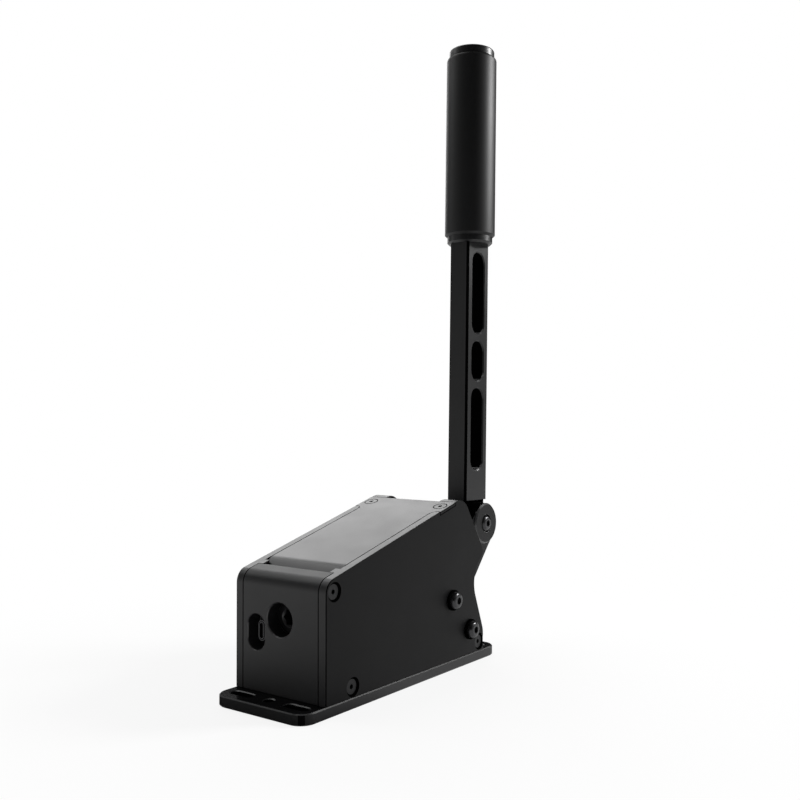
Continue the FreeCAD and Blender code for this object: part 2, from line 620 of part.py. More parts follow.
def front_plate():
    body = new_body("front_plate")
    sketch = new_sketch(body, "YZ_Plane")
    top = slope_z("FrontThick")
    corners = [("0", "BaseThick"), ("FrontThick", "BaseThick"), ("FrontThick", top), ("0", "FrontHeight")]
    outline(sketch, corners)
    pad(body, sketch, "BodyWidth - 2*LipWidth - 2*Seam", symmetric=True)
    round_edges(body, 0, [("0", "FrontHeight")], "CornerRadius")
    adjust = new_sketch(body, "XZ_Plane", str(PAST))
    circle(adjust, "0", ROD_Z, "AdjustRadius")
    pocket(body, adjust, f"FrontThick + {2 * PAST}")
    mouth = new_sketch(body, "XZ_Plane")
    circle(mouth, "0", ROD_Z, "AdjustRadius + MouthBevel")
    flare(body, mouth, "MouthBevel")
    recess = port_outline(body, PORT_WIDTH, "PortHeight", "0", PAST)
    pocket(body, recess, f"PortDepth + {PAST}")
    window = port_outline(body, "WindowWidth", "WindowHeight", "0", PAST)
    pocket(body, window, f"FrontThick + {2 * PAST}")
    flare(body, port_outline(body, PORT_WIDTH, "PortHeight", "MouthBevel", 0), "MouthBevel")
    holes = []
    for side in (1, -1):
        name = "front_plate_tap%d" % (side + 1)
        y, z = SIDE_SCREWS[0]
        depth = "UpperThread + TipGap"
        holes.append(side_bar_hole(name, "ScrewRadius + HoleGap", depth, y, z, side, LEDGE))
    as_node(cut("front_plate_cut", body, holes), "front_plate")


def top_cover():
    body = new_body("top_cover")
    sketch = new_sketch(body, "YZ_Plane")
    front = FRONT_PLATE_BACK + " + NoseGap"
    inside = front + " + CoverThick"
    low = slope_z(front, "BendDrop")
    rear = WING_REAR
    corners = [(front, low), (inside, low), (inside, slope_z(inside, COVER_DROP)),
               (rear, slope_z(rear, COVER_DROP)), (rear, slope_z(rear)), (front, slope_z(front))]
    outline(sketch, corners)
    pad(body, sketch, "BodyWidth - 2*LipWidth - 2*Seam", symmetric=True)
    round_edges(body, 0, [(front, slope_z(front))], "BendRadius")
    round_edges(body, 0, [(inside, slope_z(inside, COVER_DROP))], "BendRadius - CoverThick")
    wing = new_sketch(body, "YZ_Plane")
    corners = [(WING_FRONT, slope_z(WING_FRONT, COVER_DROP)), (rear, slope_z(rear, COVER_DROP)),
               (rear, slope_z(rear)), (WING_FRONT, slope_z(WING_FRONT))]
    outline(wing, corners)
    pad(body, wing, "BodyWidth", symmetric=True)
    side_x = LEDGE + " - Seam"
    spots = [(side_x, WING_FRONT), ("-(%s)" % side_x, WING_FRONT)]
    round_edges(body, 2, spots, "WingRound")
    corner = new_sketch(body, "XY_Plane")
    tongue = LEDGE + " - TabInset - Seam"
    far = f"{LEDGE} + {PAST}"
    back = WIDE_FRONT + " + Seam"
    rectangle(corner, tongue, "0", far, back)
    rectangle(corner, "-(%s)" % far, "0", "-(%s)" % tongue, back)
    pocket(body, corner, ABOVE, flip=True)
    cutter = sink_cutter("cover_sink", "SmallScrewRadius", "SmallScrewHead", "CoverScrewLength")
    tools = copies("cover_sinks", cutter, cover_screw_places())
    as_node(cut("top_cover_cut", body, [tools]), "top_cover")


def cover_screw_places():
    lean = FreeCAD.Rotation(FreeCAD.Vector(1, 0, 0), number("Slope"))
    z = slope_z(COVER_SCREW_Y)
    return [(sign + "(%s)" % PLATE_MIDDLE, COVER_SCREW_Y, z, lean) for sign in ("", "-")]


def cross_bar(label, radius, y):
    bar = cylinder(label + "_bar", radius, "2*(%s)" % SHAFT_END, "-(%s)" % SHAFT_END, y, "BarZ", TURN_Y)
    depth = "SideThread + TipGap"
    taps = [side_bar_hole(label + "_tap%d" % k, "ScrewRadius + HoleGap", depth, y, "BarZ", side, SHAFT_END)
            for k, side in enumerate((1, -1))]
    as_node(cut(label + "_cut", bar, taps), label)


def guide_block():
    body = new_body("guide_block")
    sketch = new_sketch(body, "XZ_Plane", "-(%s + BlockThick/2)" % BLOCK_Y)
    low = ROD_Z + " - BlockHeight/2"
    high = ROD_Z + " + BlockHeight/2"
    rectangle(sketch, "-(%s)" % SHAFT_END, low, SHAFT_END, high)
    pad(body, sketch, "BlockThick")
    bore = new_sketch(body, "XZ_Plane", f"-({BLOCK_FRONT}) + {PAST}")
    circle(bore, "0", ROD_Z, "BushRadius + FitGap")
    pocket(body, bore, f"BlockThick + {2 * PAST}")
    taps = bolt_taps("guide_block", BLOCK_Y, BLOCK_BOLT_Z, SHAFT_END)
    as_node(cut("guide_block_cut", body, taps), "guide_block")


def flanged_bush(name, outer, inner, length):
    # bush on the Z axis with its flange at the far end
    tube = ring(name + "_tube", outer, inner, length)
    collar = ring(name + "_collar", "(%s) + FlangeWidth" % outer, inner, "BushFlange")
    bind(collar, "Placement.Base.z", length)
    return fuse(name, [tube, collar])


def housing_small_parts():
    bush = flanged_bush("rod_bush_ring", "BushRadius", "RodRadius + RunGap", "BlockThick")
    as_node(bush, "rod_bush", "0", "%s + %s" % (FACE_Y, BLOCK_FRONT), ROD_Z, TURN_ALONG)
    left_end = "-(%s)" % SHAFT_END
    shaft = cylinder("pivot_bar", "ShaftRadius", "2*(%s)" % SHAFT_END, left_end, PIVOT_Y, "PivotZ", TURN_Y)
    taps = bolt_taps("pivot", PIVOT_Y, "PivotZ", SHAFT_END)
    as_node(cut("pivot_shaft_cut", shaft, taps), "pivot_shaft")
    gap = "ArmOuter + BushFlange + 2*RunGap"
    inner = "ShaftRadius + FitGap"
    side_ring = ring("side_spacer", "SpacerRadius", inner, "%s - (%s)" % (SHAFT_END, gap))
    group = copies("side_spacers", side_ring, mirrored_places(gap, [(PIVOT_Y, "PivotZ")]))
    middle = ring("middle_spacer", "SpacerRadius", inner, "2*ArmInner - 4*RunGap")
    centre = copies("middle_spacers", middle, [("-(ArmInner - 2*RunGap)", PIVOT_Y, "PivotZ", TURN_Y)])
    spacers = doc.addObject("Part::Compound", "pivot_spacer_set")
    spacers.Links = [group, centre]
    as_node(spacers, "pivot_spacers")


def housing_screws():
    side = flat_screw("side_screw", "ScrewRadius", "ScrewHead", "PlateThick + SideThread - HeadSink")
    upper = flat_screw("upper_screw", "ScrewRadius", "ScrewHead", "LipWidth + UpperThread - HeadSink")
    face = HALF + " - HeadSink"
    long_ones = copies("long_side_screws", side, mirrored_places(face, SIDE_SCREWS[1:]))
    short_ones = copies("short_side_screws", upper, mirrored_places(face, SIDE_SCREWS[:1]))
    screws = doc.addObject("Part::Compound", "side_screw_set")
    screws.Links = [long_ones, short_ones]
    as_node(screws, "side_screws")
    small = flat_screw("cover_screw", "SmallScrewRadius", "SmallScrewHead", "CoverScrewLength")
    as_node(copies("cover_screws", small, cover_screw_places()), "cover_screws")
    foot = flat_screw("base_screw", "ScrewRadius", "ScrewHead", "BaseThick + FootThread")
    as_node(copies("base_screws", foot, base_screw_places()), "base_screws", y="0")
    bolt = button_bolt("side_bolt", "PlateThick + WasherThick + BoltThread")
    head = HALF + " + WasherThick"
    as_node(copies("side_bolts", bolt, mirrored_places(head, SIDE_BOLTS)), "side_bolts")
    washer = ring("bolt_washer", "WasherRadius", "BoltRadius + HoleGap", "WasherThick")
    as_node(copies("bolt_washers", washer, mirrored_places(HALF, SIDE_BOLTS)), "bolt_washers")


def circuit_board():
    box = doc.addObject("Part::Box", "board")
    bind(box, "Length", "BoardThick")
    bind(box, "Width", "BoardLength")
    bind(box, "Height", "BoardHeight")
    bind(box, "Placement.Base.x", "-(%s)" % BOARD_X)
    bind(box, "Placement.Base.y", "BoardFront")
    bind(box, "Placement.Base.z", BOARD_LOW)
    holes = []
    for k, (y, z) in enumerate(BOARD_SCREWS):
        x = f"-({BOARD_X}) - {PAST}"
        depth = f"BoardThick + {2 * PAST}"
        holes.append(cylinder("board_hole%d" % k, "BoardScrewRadius + HoleGap", depth, x, y, z, TURN_Y))
    as_node(cut("board_cut", box, holes), "circuit_board")
    head = cylinder("board_screw_head", "BoardHead", "BoardHeadHeight")
    length = "BoardThick + BoardThread"
    shank = cylinder("board_screw_shank", "BoardScrewRadius", f"{length} + {PAST}", z="-(%s)" % length)
    whole = fuse("board_screw_blank", [head, shank])
    socket = hex_socket("board_screw_socket", "BoardKey", "BoardHeadHeight/2")
    bind(socket, "Placement.Base.z", "BoardHeadHeight/2")
    screw = cut("board_screw", whole, [socket])
    x = "-(%s) + BoardThick" % BOARD_X
    places = [(x, y, z, TURN_Y) for y, z in BOARD_SCREWS]
    as_node(copies("board_screws", screw, places), "board_screws")


def usb_port():
    body = new_body("usb_port")
    back = "FrontThick + UsbRear"
    x = "-(%s)" % PORT_X
    reach = "(UsbHeight - UsbThick)/2"
    low = PORT_Z + " - " + reach
    high = PORT_Z + " + " + reach
    shell = new_sketch(body, "XZ_Plane", "-(%s)" % back)
    belt(shell, [(x, low, "UsbThick/2"), (x, high, "UsbThick/2")])
    pad(body, shell, "%s - UsbFront" % back)
    sleeve = new_sketch(body, "XZ_Plane", "-FrontThick")
    outer = "UsbThick/2 + SleeveWall"
    belt(sleeve, [(x, low, outer), (x, high, outer)])
    pad(body, sleeve, "FrontThick - UsbFront - SleeveInset")
    mouth = new_sketch(body, "XZ_Plane", f"-UsbFront + {PAST}")
    wall = "UsbThick/2 - UsbWall"
    belt(mouth, [(x, low, wall), (x, high, wall)])
    pocket(body, mouth, f"UsbMouth + {PAST}")
    tongue = new_sketch(body, "XZ_Plane", f"-(UsbFront + UsbMouth + {PAST})")
    low = PORT_Z + " - TongueHeight/2"
    high = PORT_Z + " + TongueHeight/2"
    rectangle(tongue, x + " - TongueThick/2", low, x + " + TongueThick/2", high)
    pad(body, tongue, f"UsbMouth - TongueInset + {PAST}")
    as_node(body, "usb_port")


def arm(side):
    label = "crank_arm_right" if side > 0 else "crank_arm_left"
    body = new_body(label)
    sketch = new_sketch(body, "YZ_Plane", "ArmInner" if side > 0 else "-ArmOuter")
    belt(sketch, [(PIVOT_Y, "PivotZ", "PivotBoss"), (EAR_Y, "EarZ", "EarRadius"),
                  (PIN_Y, ROD_Z, "PinBoss")])
    pad(body, sketch, "ArmOuter - ArmInner")
    ear = new_sketch(body, "YZ_Plane", "ArmInner" if side > 0 else "-EarFace")
    circle(ear, EAR_Y, "EarZ", "EarRadius")
    pad(body, ear, "EarFace - ArmInner")
    face_x = side * number("EarFace")
    chamfer_face(body, lambda face: abs(face.CenterOfMass.x - face_x) < CLOSE, "EarChamfer")
    recess = new_sketch(body, "YZ_Plane", "EarFace" if side > 0 else "-EarFace + EarSink")
    circle(recess, EAR_Y, "EarZ", "EarRecess")
    pocket(body, recess, "EarSink")
    holes = new_sketch(body, "YZ_Plane", f"EarFace + {PAST}" if side > 0 else f"-ArmInner + {PAST}")
    circle(holes, EAR_Y, "EarZ", "BoltRadius + HoleGap")
    circle(holes, PIVOT_Y, "PivotZ", "PivotBushRadius + FitGap")
    circle(holes, PIN_Y, ROD_Z, "PinRadius + FitGap")
    pocket(body, holes, f"EarFace - ArmInner + {2 * PAST}")
    length = f"ArmOuter - ArmInner + {PAST}"
    cutter = sink_cutter(label + "_sink", "SmallScrewRadius", "SmallScrewHead", length)
    turn = TURN_Y if side > 0 else TURN_BACK
    x = "ArmOuter" if side > 0 else "-ArmOuter"
    tools = copies(label + "_sinks", cutter, [(x, TIE_Y, "TieZ", turn)])
    as_node(cut(label + "_cut", body, [tools]), label)


def crank_small_parts():
    bush = flanged_bush("pivot_bush", "PivotBushRadius", "ShaftRadius + RunGap", "ArmOuter - ArmInner")
    as_node(copies("pivot_bushes", bush, mirrored_places("ArmInner", [(PIVOT_Y, "PivotZ")])), "pivot_bushes")
    reach = "ArmOuter + PinProud"
    pin = cylinder("rod_pin_bar", "PinRadius", "2*(%s)" % reach)
    as_node(copies("rod_pins", pin, [("-(%s)" % reach, PIN_Y, ROD_Z, TURN_Y)]), "rod_pin")
    clip = ring("pin_clip", "PinRadius + ClipWidth", "PinRadius + FitGap", "ClipThick")
    as_node(copies("pin_clips", clip, mirrored_places("ArmOuter + StackGap", [(PIN_Y, ROD_Z)])), "pin_clips")
    half = "ArmInner - FitGap"
    tie = ring("tie_tube", "TieRadius", "SmallScrewRadius + HoleGap", "2*(%s)" % half)
    as_node(copies("arm_ties", tie, [("-(%s)" % half, TIE_Y, "TieZ", TURN_Y)]), "arm_tie")
    screw = flat_screw("tie_screw", "SmallScrewRadius", "SmallScrewHead", "ArmOuter - TipGap")
    as_node(copies("tie_screws", screw, mirrored_places("ArmOuter", [(TIE_Y, "TieZ")])), "tie_screws")
    seat = "EarFace - EarSink"
    bolt = button_bolt("ear_bolt", seat + " - TipGap")
    as_node(copies("ear_bolts", bolt, mirrored_places(seat, [(EAR_Y, "EarZ")])), "ear_bolts")


def push_rod():
    body = new_body("push_rod")
    eye = new_sketch(body, "YZ_Plane")
    circle(eye, PIN_Y, ROD_Z, "EyeRadius")
    pad(body, eye, "2*EyeHalf", symmetric=True)
    neck = PIN_Y + " - EyeRadius + EyeNeck"
    rod = new_sketch(body, "XZ_Plane", "-(%s)" % neck)
    circle(rod, "0", ROD_Z, "RodRadius")
    pad(body, rod, "%s - (%s) + RodTip" % (neck, CUP_BACK))
    slot = new_sketch(body, "YZ_Plane", f"EyeHalf + {PAST}")
    radius = "PinRadius + PinSlack"
    belt(slot, [(PIN_Y, ROD_Z + " - EyeSlack", radius), (PIN_Y, ROD_Z + " + EyeSlack", radius)])
    pocket(body, slot, f"2*EyeHalf + {2 * PAST}")
    as_node(body, "push_rod")


def along_y(template, label, y):
    # a turned part laid along the rod's line with its front end at Y
    group = copies(label, template, [("0", y, ROD_Z, TURN_ALONG)])
    as_node(group, label)


def stack():
    around = "RodRadius + FitGap"
    collar = ring("rod_collar_ring", "CollarRadius", around, "CollarThick")
    along_y(collar, "rod_collar", "%s - CollarThick" % COLLAR_BACK)
    loose = "RodRadius + PuckBoreGap"
    puck = ring("puck", "PuckRadius", loose, PUCK_THICK)
    for label, back in (("hard_puck", HARD_BACK), ("medium_puck", MEDIUM_BACK), ("soft_puck", SOFT_BACK)):
        along_y(puck, label, "%s - %s" % (back, PUCK_THICK))
    washer = ring("puck_washer", "PuckRadius + WasherRim", "RodRadius + RunGap", "PuckWasher")
    for label, back in (("rear_puck_washer", REAR_WASHER), ("front_puck_washer", FRONT_WASHER)):
        along_y(washer, label, "%s - PuckWasher" % back)
    blank = cylinder("cup_blank", "CupRadius", "CupThick")
    bore = cylinder("cup_bore", "RodRadius + RunGap", f"CupBore + {PAST}", z="CupThick - CupBore")
    along_y(cut("cup", blank, [bore]), "thrust_cup", "%s - CupThick" % CUP_BACK)
    barrel = cylinder("cell_barrel", "CellRadius", "CellThick")
    button = cylinder("cell_button", "ButtonRadius", f"ButtonHeight + {PAST}", z=f"CellThick - {PAST}")
    spigot = cylinder("cell_spigot", "PinRadius", f"SpigotLength + {PAST}", z="-SpigotLength")
    along_y(fuse("cell", [barrel, button, spigot]), "load_cell", CELL_FRONT)


def preload_screw():
    length = "ScrewLength"
    edge = "ScrewLand - ScrewBevel"
    corners = [("0", "0"), (edge, "0"), ("ScrewLand", "ScrewBevel"), ("ScrewLand", length + " - ScrewBevel"),
               (edge, length), ("0", length)]
    body = turned("preload_screw", corners)
    socket = doc.addObject("Part::Prism", "preload_socket")
    socket.Polygon = 6
    bind(socket, "Circumradius", "KeyRadius")
    bind(socket, "Height", f"KeyDepth + {PAST}")
    bind(socket, "Placement.Base.z", f"-{PAST}")
    lead = doc.addObject("Part::Cone", "preload_lead")
    bind(lead, "Radius1", "KeyRadius + KeyBevel")
    bind(lead, "Radius2", "KeyRadius - KeyBevel")
    bind(lead, "Height", "2*KeyBevel")
    depth = "(SpigotLength + TipGap)"
    pilot = cylinder("preload_pilot", "PinRadius + RunGap", f"{depth} + {PAST}", z=f"{length} - {depth}")
    along_y(cut("preload_cut", body, [socket, lead, pilot]), "preload_screw", "ScrewRecess")


def lever_slots(body, x, grow):
    # sketch of the three lightening slots, listed from the top down
    sketch = new_sketch(body, "YZ_Plane", x)
    half = "LightSlotWidth/2"
    radius = half + " + " + grow
    top = "LeverTop - TopMargin"
    for length in ("LongSlot", "ShortSlot", "LongSlot"):
        high = "%s - %s" % (top, half)
        low = "%s - %s + %s" % (top, length, half)
        belt(sketch, [("0", low, radius), ("0", high, radius)])
        top = "%s - %s - SlotWeb" % (top, length)
    return sketch


def lever_bar():
    body = new_body("lever_bar")
    sketch = new_sketch(body, "YZ_Plane")
    half = "LeverDepth/2"
    rectangle(sketch, "-" + half, "LeverFoot", half, "LeverTop")
    pad(body, sketch, "2*LeverHalf", symmetric=True)
    corners = [(sx + "LeverHalf", sy + half) for sx in ("", "-") for sy in ("", "-")]
    chamfer_edges(body, 2, corners, "LeverChamfer")
    pocket(body, lever_slots(body, f"LeverHalf + {PAST}", "0"), f"2*LeverHalf + {2 * PAST}")
    flare(body, lever_slots(body, "LeverHalf", "SlotBevel"), "SlotBevel")
    flare(body, lever_slots(body, "-LeverHalf", "SlotBevel"), "SlotBevel", True)
    width = "2*ArmInner - 2*TongueGap"
    disc = new_sketch(body, "YZ_Plane")
    circle(disc, "0", "0", half)
    pad(body, disc, width, symmetric=True)
    neck = new_sketch(body, "YZ_Plane")
    rectangle(neck, "-" + half, "0", half, f"LeverFoot + {PAST}")
    pad(body, neck, width, symmetric=True)
    bore = new_sketch(body, "YZ_Plane", f"ArmInner + {PAST}")
    circle(bore, "0", "0", "BoltRadius + RunGap")
    pocket(body, bore, f"2*ArmInner + {2 * PAST}")
    tap = new_sketch(body, "XY_Plane", f"LeverTop + {PAST}")
    circle(tap, "0", "0", "GripBoltRadius + HoleGap")
    pocket(body, tap, f"GripBoltReach + TipGap/2 + {PAST}")
    on_lever(body, "lever_bar")


def grip():
    low = "LeverTop + FitGap"
    high = low + " + GripCollarThick"
    hole = "GripBoltRadius + HoleGap"
    rim = "GripCollar - CollarBevel"
    corners = [(hole, low), (rim, low), ("GripCollar", low + " + CollarBevel"),
               ("GripCollar", high), (hole, high)]
    on_lever(turned("grip_collar", corners), "grip_collar")
    start = high + " + FitGap"
    end = start + " + GripLength"
    wall = "CoreRadius + FitGap"
    foot = "GripRadius - SleeveBevel"
    corners = [(wall, start), (foot, start), ("GripRadius", start + " + SleeveBevel"),
               ("GripRadius", end), (wall, end)]
    sleeve = turned("grip_sleeve", corners)
    soften_rim(sleeve, "GripRadius", end, "GripShoulder")
    on_lever(sleeve, "grip_sleeve")
    seat = start + " + CoreSeat"
    corners = [(hole, start), ("CoreRadius", start), ("CoreRadius", end), ("CoreSocket", end),
               ("CoreSocket", seat), (hole, seat)]
    on_lever(turned("grip_core", corners), "grip_core")
    cap_low = end + " + FitGap"
    cap_high = cap_low + " + CapThick"
    plug = "CoreSocket - HoleGap"
    plug_low = cap_low + " - PlugLength"
    corners = [("0", plug_low), (plug, plug_low), (plug, cap_low), ("CapRadius", cap_low),
               ("CapRadius", cap_high), ("0", cap_high)]
    cap = turned("grip_cap", corners)
    soften_rim(cap, "CapRadius", cap_high, "CapRound")
    on_lever(cap, "grip_cap")
    head = seat + " + FitGap"
    head_top = head + " + GripBoltHeadHeight"
    tip = "LeverTop - GripBoltReach"
    corners = [("0", tip), ("GripBoltRadius", tip), ("GripBoltRadius", head), ("GripBoltHead", head),
               ("GripBoltHead", head_top), ("0", head_top)]
    on_lever(turned("grip_bolt", corners), "grip_bolt")


base_plate()
side_plate(1)
side_plate(-1)
front_plate()
top_cover()
cross_bar("front_cross_bar", "FrontBarRadius", "FrontBarY")
cross_bar("rear_cross_bar", "RearBarRadius", REAR_BAR_Y)
guide_block()
housing_small_parts()
housing_screws()
circuit_board()
usb_port()
arm(1)
arm(-1)
crank_small_parts()
push_rod()
stack()
preload_screw()
lever_bar()
grip()
doc.recompute()

for item in doc.Objects:
    if "Invalid" in item.State or "Error" in item.State:
        raise ValueError("failed object " + item.Label)
for item in nodes:
    if item.Shape.isNull() or not item.Shape.isValid() or not item.Shape.Solids:
        raise ValueError("bad shape " + item.Label)
os.makedirs("parts", exist_ok=True)
for item in nodes:
    item.Shape.exportStep("parts/%s.step" % item.Label)
print(len(nodes), "sub-parts written")
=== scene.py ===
import bpy
import json
import math
from mathutils import Matrix, Vector


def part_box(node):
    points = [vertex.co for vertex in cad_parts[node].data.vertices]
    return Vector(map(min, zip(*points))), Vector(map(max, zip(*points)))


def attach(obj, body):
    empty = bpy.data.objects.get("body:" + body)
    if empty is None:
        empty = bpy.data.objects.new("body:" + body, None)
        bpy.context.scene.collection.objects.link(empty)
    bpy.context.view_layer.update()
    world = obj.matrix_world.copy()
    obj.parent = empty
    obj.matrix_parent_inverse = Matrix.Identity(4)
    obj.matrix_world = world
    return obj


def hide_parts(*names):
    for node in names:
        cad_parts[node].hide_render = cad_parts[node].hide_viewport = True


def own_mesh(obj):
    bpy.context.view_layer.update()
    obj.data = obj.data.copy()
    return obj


# Sim racing handbrake: looks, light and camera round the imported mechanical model.

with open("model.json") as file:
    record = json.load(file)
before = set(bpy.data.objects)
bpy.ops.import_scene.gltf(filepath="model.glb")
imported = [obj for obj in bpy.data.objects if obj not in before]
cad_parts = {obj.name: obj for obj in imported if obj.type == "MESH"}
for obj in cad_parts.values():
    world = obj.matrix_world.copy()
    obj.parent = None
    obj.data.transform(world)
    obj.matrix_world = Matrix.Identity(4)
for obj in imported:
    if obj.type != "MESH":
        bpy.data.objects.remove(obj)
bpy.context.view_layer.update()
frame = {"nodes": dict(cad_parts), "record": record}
nodes = frame["nodes"]
bodyOf = {name: body for body, names in frame["record"]["behaviour"]["bodies"].items() for name in names}


class Signal:
    # a shader socket that takes part in plain maths
    def __init__(self, wiring, socket):
        self.wiring = wiring
        self.socket = socket

    def combine(self, operation, other, swapped=False):
        pair = (other, self) if swapped else (self, other)
        return self.wiring.node("ShaderNodeMath", {"operation": operation}, {0: pair[0], 1: pair[1]})

    def __add__(self, other):
        return self.combine("ADD", other)

    def __sub__(self, other):
        return self.combine("SUBTRACT", other)

    def __mul__(self, other):
        return self.combine("MULTIPLY", other)

    def __radd__(self, other):
        return self.combine("ADD", other)

    def __rsub__(self, other):
        return self.combine("SUBTRACT", other, True)


class Wiring:
    # adds shader nodes to a tree and links them
    def __init__(self, tree):
        self.tree = tree

    def node(self, kind, settings, values, output=0):
        item = self.tree.nodes.new(kind)
        for key, value in settings.items():
            if key == "stops":
                for element, (spot, tone) in zip(item.color_ramp.elements, value):
                    element.position = spot
                    element.color = (tone, tone, tone, 1)
            else:
                setattr(item, key, value)
        for key, value in values.items():
            self.put(item.inputs[key], value)
        return Signal(self, item.outputs[output])

    def put(self, socket, value):
        if isinstance(value, Signal):
            self.tree.links.new(value.socket, socket)
        else:
            socket.default_value = value

    def ramp(self, mask, *stops):
        # two stops, each a spot and its tone
        return self.node("ShaderNodeValToRGB", {"stops": stops}, {"Fac": mask})

    def shownRays(self):
        # two signals: rays straight from the camera, and rays by way of gloss or glass
        direct = self.node("ShaderNodeLightPath", {}, {}, "Is Camera Ray")
        gloss = self.node("ShaderNodeLightPath", {}, {}, "Is Glossy Ray")
        clear = self.node("ShaderNodeLightPath", {}, {}, "Is Transmission Ray")
        return direct, gloss.combine("MAXIMUM", clear)


class Finish(Wiring):
    # one material and its principled shader
    def __init__(self, name):
        self.material = bpy.data.materials.new(name)
        self.material.use_nodes = True
        super().__init__(self.material.node_tree)
        self.shader = self.tree.nodes["Principled BSDF"]
        self.place = self.node("ShaderNodeTexCoord", {}, {}, "Object")

    def set(self, **values):
        for name, value in values.items():
            self.put(self.shader.inputs[name.replace("_", " ")], value)

    def noise(self, size, detail=2.0, rough=0.5):
        # soft random pattern with features about this large, in metres
        return self.node("ShaderNodeTexNoise", {}, {"Vector": self.place, "Scale": 1 / size,
                                                    "Detail": detail, "Roughness": rough})

    def bump(self, height, depth):
        values = {"Height": height, "Distance": depth, "Strength": 1.0}
        return self.node("ShaderNodeBump", {}, values, "Normal")

    def tint(self, mask, tone, lighter):
        # from the tone, where the mask is 0, to the tone made lighter by this factor
        light = tuple(min(1.0, value * lighter) for value in tone)
        sockets = {0: mask, 6: (*tone, 1), 7: (*light, 1)}
        return self.node("ShaderNodeMix", {"data_type": "RGBA"}, sockets, 2)


# each maker's own pattern stands before it; sizes and depths are in metres
anodised = {"grainDetail": (3.0, 0.6), "smudge": 0.02, "smudgeStops": ((0.35, 0.0), (0.7, 1.0)),
            "lighter": 1.35, "tintBy": (0.7, 0.2), "roughBy": (0.06, 0.04)}


def blackAnodised(name, look):
    # bead-blasted and dyed aluminium: fine even grain, slightly uneven sheen
    finish = Finish(name)
    fine = finish.noise(look["grain"], *anodised["grainDetail"])
    smudge = finish.ramp(finish.noise(anodised["smudge"]), *anodised["smudgeStops"])
    fineTint, smudgeTint = anodised["tintBy"]
    fineRough, smudgeShine = anodised["roughBy"]
    mask = fine * fineTint + smudge * smudgeTint
    finish.set(Base_Color=finish.tint(mask, look["tone"], anodised["lighter"]))
    finish.set(Roughness=look["rough"] + fine * fineRough - smudge * smudgeShine)
    finish.set(Normal=finish.bump(fine, look["depth"]), Specular_IOR_Level=look["gleam"])
    return finish.material


oxidised = {"grain": (0.0004, 4.0, 0.6), "patch": 0.0025, "lighter": 1.9, "roughBy": 0.12, "depth": 0.00002}


def blackOxide(name, look):
    # blackened steel, oily and a little patchy
    finish = Finish(name)
    fine = finish.noise(*oxidised["grain"])
    patch = finish.noise(oxidised["patch"])
    finish.set(Base_Color=finish.tint(patch, look["tone"], oxidised["lighter"]), Metallic=look["metal"])
    finish.set(Roughness=look["rough"] + patch * oxidised["roughBy"])
    finish.set(Normal=finish.bump(fine, oxidised["depth"]))
    return finish.material


ground = {"rings": {"Scale": 900.0, "Distortion": 2.0, "Detail": 2.0}, "grain": (0.0005, 3.0),
          "lighter": 1.15, "roughBy": 0.1, "depth": 0.000002}


def groundSteel(name, look):
    # turned and ground steel with faint rings round the shaft
    finish = Finish(name)
    settings = {"wave_type": "RINGS", "rings_direction": look["axis"]}
    rings = finish.node("ShaderNodeTexWave", settings, {"Vector": finish.place, **ground["rings"]}, "Fac")
    fine = finish.noise(*ground["grain"])
    finish.set(Base_Color=finish.tint(fine, look["tone"], ground["lighter"]), Metallic=1.0)
    finish.set(Roughness=look["rough"] + fine * ground["roughBy"])
    finish.set(Normal=finish.bump(rings, ground["depth"]))
    return finish.material


moulded = {"grain": (0.00032, 4.0, 0.65), "wide": 0.03, "lighter": 1.4, "roughBy": 0.05, "depth": 0.000014}


def softTouch(name, look):
    # moulded sleeve and packages with a dry, very fine texture
    finish = Finish(name)
    fine = finish.noise(*moulded["grain"])
    wide = finish.noise(moulded["wide"])
    finish.set(Base_Color=finish.tint(fine, look["tone"], moulded["lighter"]))
    finish.set(Roughness=look["rough"] + wide * moulded["roughBy"])
    finish.set(Normal=finish.bump(fine, moulded["depth"]), Specular_IOR_Level=look["gleam"])
    return finish.material


polished = {"grain": 0.0015, "lighter": 1.3, "roughBy": 0.05, "depth": 0.000008}


def glossBlack(name, look):
    # black pieces, and painted shade in recesses and gaps, with a faint, fine pattern
    finish = Finish(name)
    fine = finish.noise(polished["grain"])
    finish.set(Base_Color=finish.tint(fine, look["tone"], polished["lighter"]))
    finish.set(Roughness=look["rough"] + fine * polished["roughBy"])
    finish.set(Normal=finish.bump(fine, polished["depth"]), Specular_IOR_Level=look["gleam"])
    return finish.material


cast = {"cloud": (0.006, 3.0), "grain": (0.0006, 3.0), "lighter": 1.25, "rough": 0.38, "roughBy": 0.1,
        "depth": 0.00003, "milky": 0.15, "milkyRadius": (0.003, 0.002, 0.0015)}


def castUrethane(name, look):
    # slightly milky cast puck
    finish = Finish(name)
    cloud = finish.noise(*cast["cloud"])
    fine = finish.noise(*cast["grain"])
    finish.set(Base_Color=finish.tint(cloud, look["tone"], cast["lighter"]))
    finish.set(Roughness=cast["rough"] + fine * cast["roughBy"])
    finish.set(Normal=finish.bump(fine, cast["depth"]), Subsurface_Weight=cast["milky"])
    finish.set(Subsurface_Radius=cast["milkyRadius"])
    return finish.material


masked = {"scale": 260.0, "tracks": ((0.2, 1.0), (0.45, 0.0)), "lighter": 1.8, "rough": 0.35,
          "roughBy": 0.1, "depth": 0.00002}


def solderMask(name, look):
    # dark board with faint tracks under the mask
    finish = Finish(name)
    cells = finish.node("ShaderNodeTexVoronoi", {"distance": "MANHATTAN"},
                        {"Vector": finish.place, "Scale": masked["scale"]}, "Distance")
    tracks = finish.ramp(cells, *masked["tracks"])
    finish.set(Base_Color=finish.tint(tracks, look["tone"], masked["lighter"]))
    finish.set(Roughness=masked["rough"] + tracks * masked["roughBy"])
    finish.set(Normal=finish.bump(tracks, masked["depth"]))
    return finish.material


